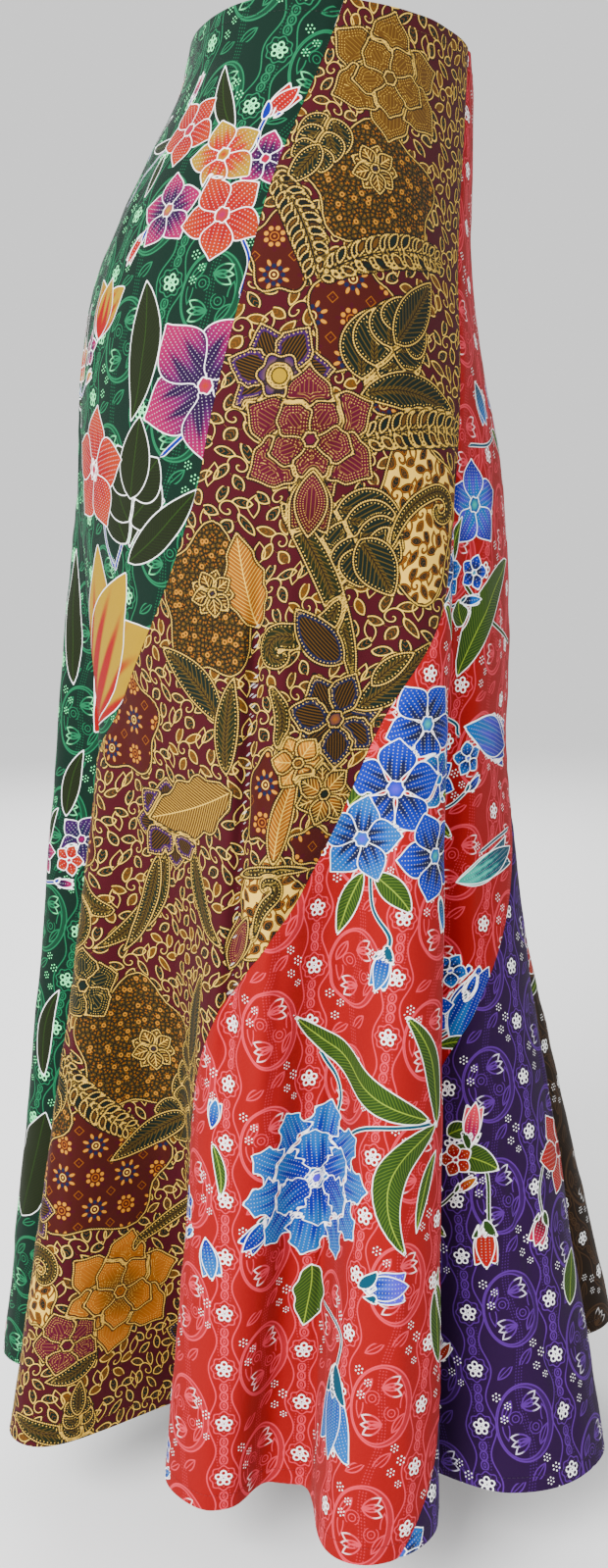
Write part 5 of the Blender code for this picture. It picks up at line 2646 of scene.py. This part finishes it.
GOLD_MOTIFS = (
    *grounds(Patch.SPECKLE, (388, 190, 84.0, 74.0)),
    *grounds(Patch.STARS, (284, 255, 36.0, 46.0), (362, 325, 48.0, 64.0), (412, 408, 44.0, 20.0)),
    *grounds(Patch.CRACKLE, (428, 528, 60.0, 92.0), waves=4),
    *grounds(Patch.SPECKLE, (212, 615, 62.0, 84.0)),
    *grounds(Patch.STARS, (128, 735, 58.0, 66.0), (264, 815, 26.0, 52.0), (322, 862, 30.0, 22.0)),
    *grounds(Patch.CRACKLE, (272, 935, 44.0, 64.0)),
    *grounds(Patch.SPECKLE, (140, 1065, 78.0, 88.0)),
    *grounds(Patch.STARS, (95, 1200, 104.0, 84.0)),
    *grounds(Patch.CRACKLE, (36, 1325, 26.0, 40.0)),
    *seen_at(GreatFlower, (400, 80, 41.0, 6, Dye.OCHRE, Dye.OCHRE, None, Dye.BRONZE, 25.0)),
    *seen(LobedLeaf, (342, 112, 288, 186, 34.0), bend=0.15),
    *seen(Feather, (276, 172, 324, 282, 26.0, 0.1), (328, 282, 452, 268, 26.0, 0.12)),
    *seen_at(
        BatikFlower, (282, 385, 31.0, 7, Dye.VIOLET, Dye.VIOLET, None, Dye.YELLOW, 10.0),
        heart_share=0.38, mark=Mark.EYED,
    ),
    *seen(LobedLeaf, (362, 396, 442, 288, 58.0, 4, -0.06)),
    *seen(BatikLeaf, (370, 402, 474, 438, 22.0, 0.24, Dye.BOTTLE)),
    *seen(Feather, (368, 450, 474, 446, 28.0, 0.08)),
    *seen(LobedLeaf, (338, 512, 402, 608, 62.0, 4, 0.06)),
    *seen(Scroll, (284, 512, 362, 700, 14.0, 0.12, 0.0), (348, 612, 284, 650, 15.0, 0.42, 0.8)),
    *seen(Leaf, (352, 676, 304, 622, 22.0, 0.1, Dye.NAVY), mark=Mark.EYED),
    *seen_at(GreatFlower, (316, 450, 41.0, 6, Dye.MAROON, Dye.WINE, None, Dye.WINE, 35.0)),
    *seen(Bud, (322, 480, 316, 548, 30.0, Dye.WINE, Dye.MAROON)),
    *seen_at(
        BatikFlower, (344, 735, 29.0, 7, Dye.NAVY, Dye.NAVY, None, Dye.GOLD, 20.0), mark=Mark.EYED
    ),
    *seen(BatikLeaf, (364, 724, 444, 656, 19.0, -0.1, Dye.BOTTLE)),
    *seen(BatikLeaf, (378, 700, 424, 668, 12.0, 0.1, Dye.OLIVE), screen=1),
    *seen(BatikLeaf, (222, 738, 164, 660, 20.0, -0.12, Dye.BOTTLE)),
    *seen(BatikLeaf, (228, 790, 236, 690, 16.0, 0.1, Dye.OLIVE), screen=1),
    *seen(Leaf, (262, 640, 238, 545, 24.0, 0.05, Dye.GOLD), teeth=4.0, tooth=0.12),
    *seen_at(
        Flower, (174, 842, 30.0, 8, Dye.VIOLET, Dye.VIOLET, None, Dye.OCHRE, 5.0),
        plump=0.95, ragged=0.07, mark=Mark.EYED,
    ),
    *seen(Leaf, (234, 808, 150, 834, 36.0, 0.06, Dye.OCHRE), teeth=4.0, tooth=0.14, screen=2),
    *seen(BatikLeaf, (166, 866, 92, 968, 15.0, 0.3, Dye.OLIVE)),
    *seen(BatikLeaf, (160, 870, 128, 970, 12.0, 0.1, Dye.BOTTLE), screen=1),
    *seen(BatikLeaf, (196, 866, 230, 968, 15.0, -0.28, Dye.OLIVE)),
    *seen(Scroll, (118, 930, 84, 905, 13.0, 0.3, 0.7)),
    *seen(Leaf, (280, 884, 308, 786, 13.0, 0.08, Dye.GOLD)),
    *seen(Scroll, (244, 892, 318, 885, 6.0, 0.08, 0.0), (272, 700, 283, 752, 9.0, 0.3, 0.4)),
    *seen_at(
        BatikFlower,
        (306, 778, 17.0, 6, Dye.GOLD, Dye.PALE_GOLD, None, Dye.BOTTLE),
        (332, 812, 19.0, 7, Dye.GOLD, Dye.OLIVE, None, Dye.BOTTLE),
        mark=Mark.VEINED,
    ),
    *seen(Bud, (236, 990, 250, 936, 26.0, Dye.WINE, Dye.WINE)),
    *seen_at(BatikFlower, (82, 1005, 25.0, 5, Dye.BOTTLE, Dye.BOTTLE, None, Dye.BOTTLE, 20.0)),
    *seen(LobedLeaf, (188, 1150, 204, 995, 42.0, 4, 0.05)),
    *seen(Feather, (66, 1078, 136, 1152, 26.0, -0.12)),
    *seen(LobedLeaf, (196, 1120, 116, 1184, 44.0, 3, 0.1)),
    *seen_at(GreatFlower, (124, 1318, 44.0, 6, Dye.OCHRE, Dye.AMBER, None, Dye.OCHRE, 20.0)),
    *seen_at(BatikFlower, (70, 1372, 24.0, 5, Dye.WINE, Dye.WINE, None, Dye.MAROON, 40.0)),
    *seen(
        BatikLeaf,
        (100, 1380, 45, 1410, 12.0, 0.2, Dye.BOTTLE),
        (14, 1440, 100, 1462, 14.0, -0.06, Dye.OLIVE),
    ),
    *seen(LobedLeaf, (88, 1470, 84, 1408, 26.0, 3)),
    *seen(Scroll, (190, 1222, 146, 1262, 8.0, 0.2, 0.2)),
    *seen_at(
        partial(Flower, ink=Dye.BROWN, tip_ink=Dye.OCHRE, heart=Dye.NAVY),
        (385, 170, 15.0, 9), (214, 606, 14.0, 9), (154, 1070, 15.0, 9),
        plump=1.0, mark=Mark.VEINED,
    ),
    *seen(Scroll, (400, 560, 448, 500, 8.0, 0.3, 0.9, -1), (258, 960, 282, 915, 7.0, 0.3, 0.8)),
    BatikFill(most=14),
)

OCHRE_MOTIFS = (BatikFill(most=34, seed=14),)


@dataclass
class Stage:
    """The plain pale floor and the soft studio light."""

    floor_height: float = -0.97
    floor_size: float = 8.0
    sky_strength: float = 1.08
    lamps: tuple = (
        ("key", (-2.3, 1.3, 0.9), 1.6, 225.0),
        ("fill", (-1.6, -2.2, 0.5), 2.0, 4.0),
        ("back", (2.2, 0.4, 1.0), 2.0, 60.0),
    )

    def build(self) -> None:
        """Makes the floor, the lamps and the sky."""
        mesh = bpy.data.meshes.new("floor")
        half = self.floor_size / 2
        corners = ((-half, -half), (half, -half), (half, half), (-half, half))
        mesh.from_pydata([(*corner, self.floor_height) for corner in corners], [], [(0, 1, 2, 3)])
        looks = {"Base Color": (0.9, 0.9, 0.9, 1.0), "Roughness": 0.9}
        mesh.materials.append(Finish("pale_floor").coat(looks))
        floor = linked("floor", mesh)
        for name, place, size, power in self.lamps:
            self.lamp(name, place, size, power)
        world = bpy.data.worlds.new("studio")
        bpy.context.scene.world = world
        world.use_nodes = True
        sky = world.node_tree.nodes["Background"]
        sky.inputs["Color"].default_value = (1.0, 1.0, 1.0, 1.0)
        sky.inputs["Strength"].default_value = self.sky_strength

    def lamp(self, name: str, place: tuple, size: float, power: float) -> None:
        """Makes one soft square lamp that points at the middle of the skirt.

        Args:
            name: the lamp's name.
            place: where it stands.
            size: the length of its side.
            power: its power in watts.
        """
        data = bpy.data.lights.new(name, "AREA")
        data.size = size
        data.energy = power
        lamp = linked(name, data)
        lamp.location = place
        aim = Vector((0.0, 0.0, -LENGTH / 2)) - Vector(place)
        lamp.rotation_euler = aim.to_track_quat("-Z", "Y").to_euler()


@dataclass(frozen=True)
class Thread:
    """Sewing thread: a plain dyed twist."""

    name: str
    dye: Dye
    grain: float = 2400.0

    def make(self) -> bpy.types.Material:
        """Builds the material, with the twist as a fine bump.

        Returns:
            The material.
        """
        finish = Finish(self.name)
        where = finish.node("ShaderNodeTexCoord", {}, {}).outputs["Object"]
        sockets = {"Vector": where, "Scale": self.grain, "Detail": 1.0}
        twist = Wire(finish, finish.node("ShaderNodeTexNoise", {}, sockets).outputs[0])
        looks = {
            "Base Color": finish.mix(twist, finish.colour(self.dye, 0.7), self.dye),
            "Roughness": 0.6,
            "Specular IOR Level": 0.3,
            "Normal": finish.normal(twist, 0.3, 0.0001),
        }
        return finish.coat(looks)


@dataclass(frozen=True)
class StitchRow:
    """Short threads at equal steps along lines, laid by Geometry Nodes. Sizes in metres."""

    pitch: float = 0.0030
    length: float = 0.0021
    radius: float = 0.00024
    sides: int = 5
    unevenness: float = 0.15
    seed: int = 4

    def tree(self, material: bpy.types.Material) -> tuple:
        """Builds the node tree.

        Args:
            material: what the threads are made of.

        Returns:
            The tree, and its inputs with their values.
        """
        tree = bpy.data.node_groups.new("stitches", "GeometryNodeTree")
        socket = tree.interface.new_socket
        socket(name="Lines", in_out="INPUT", socket_type="NodeSocketGeometry")
        given = {"Pitch": self.pitch, "Length": self.length, "Radius": self.radius}
        sizes = [
            (socket(name=name, in_out="INPUT", socket_type="NodeSocketFloat"), value)
            for name, value in given.items()
        ]
        socket(name="Stitches", in_out="OUTPUT", socket_type="NodeSocketGeometry")
        kinds = {
            "given": "NodeGroupInput",
            "curve": "GeometryNodeMeshToCurve",
            "even": "GeometryNodeResampleCurve",
            "thread": "GeometryNodeMeshCylinder",
            "along": "GeometryNodeInputTangent",
            "align": "FunctionNodeAlignRotationToVector",
            "spread": "FunctionNodeRandomValue",
            "place": "GeometryNodeInstanceOnPoints",
            "real": "GeometryNodeRealizeInstances",
            "coat": "GeometryNodeSetMaterial",
            "out": "NodeGroupOutput",
        }
        nodes = {key: tree.nodes.new(kind) for key, kind in kinds.items()}
        nodes["even"].mode = "LENGTH"
        nodes["align"].axis = "Z"
        spread = nodes["spread"]
        spread.data_type = "FLOAT"
        least, most = 1 - self.unevenness, 1 + self.unevenness
        for key, value in (("Min_001", least), ("Max_001", most), ("Seed", self.seed)):
            next(s for s in spread.inputs if s.identifier == key).default_value = value
        nodes["thread"].inputs["Vertices"].default_value = self.sides
        nodes["coat"].inputs["Material"].default_value = material
        drawn = next(s for s in spread.outputs if s.enabled)
        tree.links.new(drawn, nodes["place"].inputs["Scale"])
        for start, output, end, entry in (
            ("given", "Lines", "curve", "Mesh"),
            ("curve", "Curve", "even", "Curve"),
            ("given", "Pitch", "even", "Length"),
            ("given", "Length", "thread", "Depth"),
            ("given", "Radius", "thread", "Radius"),
            ("along", "Tangent", "align", "Vector"),
            ("even", "Curve", "place", "Points"),
            ("thread", "Mesh", "place", "Instance"),
            ("align", "Rotation", "place", "Rotation"),
            ("place", "Instances", "real", "Geometry"),
            ("real", "Geometry", "coat", "Geometry"),
            ("coat", "Geometry", "out", "Stitches"),
        ):
            tree.links.new(nodes[start].outputs[output], nodes[end].inputs[entry])
        return tree, sizes

    def sew(self, name: str, lines: list, material: bpy.types.Material) -> bpy.types.Object:
        """Sews the rows.

        Args:
            name: the piece's name.
            lines: arrays of points in metres, one for each row.
            material: what the thread is made of.

        Returns:
            The piece, as a plain mesh.
        """
        mesh = bpy.data.meshes.new(name)
        points, edges = [], []
        for line in lines:
            edges += [(len(points) + k, len(points) + k + 1) for k in range(len(line) - 1)]
            points += line.tolist()
        mesh.from_pydata(points, edges, [])
        piece = linked(name, mesh)
        tree, sizes = self.tree(material)
        layer = piece.modifiers.new("stitches", "NODES")
        layer.node_group = tree
        for socket, value in sizes:
            layer[socket.identifier] = value
        graph = bpy.context.evaluated_depsgraph_get()
        sewn = bpy.data.meshes.new_from_object(piece.evaluated_get(graph))
        piece.modifiers.clear()
        piece.data = sewn
        sewn.shade_smooth()
        return piece


@dataclass(frozen=True)
class AllowanceCotton:
    """The two pressed-open edges of a seam, seen from inside, with overlock thread along them and
    painted shade in the groove between them.
    """

    name: str
    first_dye: Dye
    last_dye: Dye
    half_width: float
    thread_dye: Dye = Dye.WHITE
    overlock: float = 3.2
    stitch_step: float = 1.9
    weave_rate: float = 15.0

    def make(self) -> bpy.types.Material:
        """Builds the material from how far across and down the seam a place is, in millimetres.

        Returns:
            The material.
        """
        finish = Finish(self.name)
        across, down, _ = finish.numbers(finish.attribute("seam_place")[0])
        first = finish.mix(WRONG_SIDE_PALE, self.first_dye, Dye.WHITE)
        last = finish.mix(WRONG_SIDE_PALE, self.last_dye, Dye.WHITE)
        cloth = finish.mix(across.over(0.0), first, last)
        out = abs(across)
        slant = (down - out * 0.5).wrapped(self.stitch_step).band(0.36)
        bight = out.over(self.half_width - self.overlock) * slant
        inner_rail = (out - self.half_width + self.overlock).band(0.3)
        sewn = bight.highest(inner_rail, (out - self.half_width).band(0.5))
        colour = finish.mix(sewn, cloth, self.thread_dye)
        weave = (across * self.weave_rate).math("SINE") * (down * self.weave_rate).math("SINE")
        # Painted shade: a near-black line down the middle, in the groove where the two allowances
        # part at the seam.
        looks = {
            "Base Color": finish.mix(across.band(0.35), colour, Dye.INK),
            "Roughness": PrintedCotton.roughness,
            "Specular IOR Level": PrintedCotton.specular,
            "Normal": finish.normal(weave, WEAVE_STRENGTH, WEAVE_HEIGHT),
        }
        return finish.coat(looks)


@dataclass(frozen=True)
class SeamAllowance:
    """The pressed-open allowances behind one seam, as one thin ribbon. Sizes in metres."""

    form: SkirtForm
    seam: str
    half_width: float = 0.011
    depth: float = 0.0021
    thickness: float = 0.0005
    groove: float = 0.0003
    groove_width: float = 0.002
    top: float = 0.016
    low: float = 0.886
    rows: int = 150
    columns: int = 9
    reach: float = 16.0

    def faces(self, down: np.ndarray, across: np.ndarray) -> tuple:
        """The ribbon's outer face and its back, as grids of points.

        Args:
            down: how far down each row is, as a share.
            across: how far from the seam each column is.

        Returns:
            The two grids.
        """
        middle = read_table(SEAMS, self.seam, -LENGTH * down)
        fine = middle[:, None] + np.linspace(-self.reach, self.reach, 65)
        along = along_rows(self.form.points(fine, self.form.heights(fine, down[:, None])))
        along -= along[:, 32:33]
        angle = np.stack([np.interp(across, run, row) for run, row in zip(along, fine)])
        height = self.form.heights(angle, down[:, None])
        groove = self.groove * np.exp(-((across / self.groove_width) ** 2))[None, :, None]
        out = self.form.normals(angle, height)
        face = self.form.points(angle, height) - out * (self.depth + self.thickness - groove)
        return face, face + out * self.thickness

    def build(self, dyes: tuple) -> bpy.types.Object:
        """Makes the ribbon between the turned waist and the turned hem, with its material.

        Args:
            dyes: the colours of its two halves.

        Returns:
            The ribbon.
        """
        down = np.linspace(self.top, self.low, self.rows) / LENGTH
        across = np.linspace(-self.half_width, self.half_width, self.columns)
        face, back = self.faces(down, across)
        count = self.rows * self.columns
        index = np.arange(count).reshape(self.rows, self.columns)
        quads = grid_faces(index, (3, 2, 1, 0)) + grid_faces(index + count)
        ring = border(index)
        ahead = np.roll(ring, -1)
        quads += np.stack([ring, ahead, ahead + count, ring + count], -1).tolist()
        mesh = bpy.data.meshes.new("allowance_" + self.seam)
        mesh.from_pydata(np.concatenate([face, back]).reshape(-1, 3).tolist(), [], quads)
        mesh.shade_smooth()
        mesh.set_sharp_from_angle(angle=SHARP_ANGLE)
        place = np.zeros((self.rows, self.columns, 3))
        place[..., 0] = across * MILLIMETRES
        place[..., 1] = down[:, None] * LENGTH * MILLIMETRES
        store(mesh, "seam_place", np.tile(place.reshape(-1, 3), (2, 1)))
        half_width = self.half_width * MILLIMETRES
        cotton = AllowanceCotton("cotton_" + mesh.name, *dyes, half_width=half_width)
        mesh.materials.append(cotton.make())
        return linked(mesh.name, mesh)


@dataclass(frozen=True)
class Panel:
    """What one panel is cut from and how it is printed."""

    name: str
    seams: tuple
    grid: tuple
    cotton: type
    looks: dict
    motifs: tuple
    thread: Dye
    neighbour: Dye


@dataclass
class Skirt:
    """The whole skirt: six printed panels and their sewing."""

    form: SkirtForm = field(default_factory=SkirtForm)
    camera: PhotoCamera = field(default_factory=PhotoCamera)

    def sewing(self, cloth: PanelCloth, panel: Panel) -> list:
        """Sews a panel's waist and hem, and lays the allowances behind its first seam.

        Args:
            cloth: the panel's cloth.
            panel: what it is made of.

        Returns:
            The stitches and the ribbon.
        """
        waist_row, hem_row = cloth.turned_rows()
        lines = [cloth.points[row, 1:-1] for row in (waist_row - 1, hem_row)]
        thread = Thread("thread_" + panel.name, panel.thread).make()
        stitches = StitchRow().sew("stitches_" + panel.name, lines, thread)
        ribbon = SeamAllowance(self.form, cloth.first_seam).build((panel.neighbour, panel.thread))
        return [stitches, ribbon]

    def add(self, panel: Panel) -> None:
        """Builds, prints and sews one panel.

        Args:
            panel: what it is made of.
        """
        name = panel.name
        cloth = PanelCloth(name, *panel.seams, *panel.grid, self.form, self.camera)
        printer = Printer(cloth)
        for motif in panel.motifs:
            motif.paint(printer)
        looks = dict(panel.looks)
        if "chain_at" in looks:
            looks["chain_at"] = tuple(float(v) for v in printer.spot(looks["chain_at"]))
        piece = cloth.build(printer.values())
        piece.data.materials.append(panel.cotton("cotton_" + name, **looks).make())
        sewn = self.sewing(cloth, panel)
        for each in (piece, *sewn):
            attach(each, "root")
        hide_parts("panel_" + name)
        width, length, area = cloth.cut_size()
        log.info("%s: cut from %.3f x %.3f m, %.4f m2", name, width, length, area)

    def build(self) -> None:
        """Builds the panels."""
        for panel in PANELS:
            self.add(panel)


PANELS = (
    Panel(
        "gold", ("gold_red", "green_gold"), (176, 470), BatikCotton, {}, GOLD_MOTIFS,
        Dye.OCHRE, Dye.RED,
    ),
    Panel(
        "red", ("red_purple", "gold_red"), (180, 460), TulipCotton,
        {"ground_dye": Dye.RED, "pattern_dye": Dye.BLUSH, "chain_at": Seen(393, 1058)}, RED_MOTIFS,
        Dye.RED, Dye.PURPLE,
    ),
    Panel(
        "green", ("green_gold", "ochre_green"), (196, 410), TulipCotton,
        {
            "ground_dye": Dye.PINE, "pattern_dye": Dye.JADE, "flower_dye": Dye.MINT,
            "vein_dye": Dye.LEAF, "chain_at": Seen(283, 50),
        },
        GREEN_MOTIFS, Dye.PINE, Dye.OCHRE,
    ),
    Panel(
        "purple", ("purple_brown", "red_purple"), (150, 400), TulipCotton,
        {"ground_dye": Dye.PURPLE, "pattern_dye": Dye.IRIS, "chain_at": Seen(488, 1455)},
        PURPLE_MOTIFS, Dye.PURPLE, Dye.BROWN,
    ),
    Panel(
        "ochre", ("ochre_green", "brown_ochre"), (140, 330), BatikCotton, {}, OCHRE_MOTIFS,
        Dye.OCHRE, Dye.PINE,
    ),
    Panel(
        "brown", ("brown_ochre", "purple_brown"), (130, 310), TulipCotton,
        {"ground_dye": Dye.BROWN, "pattern_dye": Dye.TAN}, BROWN_MOTIFS, Dye.BROWN, Dye.OCHRE,
    ),
)


def main() -> None:
    """Builds the skirt, its stage and its camera."""
    logging.basicConfig(level=logging.INFO, format="%(name)s: %(message)s")
    skirt = Skirt()
    skirt.camera.place()
    skirt.build()
    Stage().build()


if __name__ == "__main__":
    main()
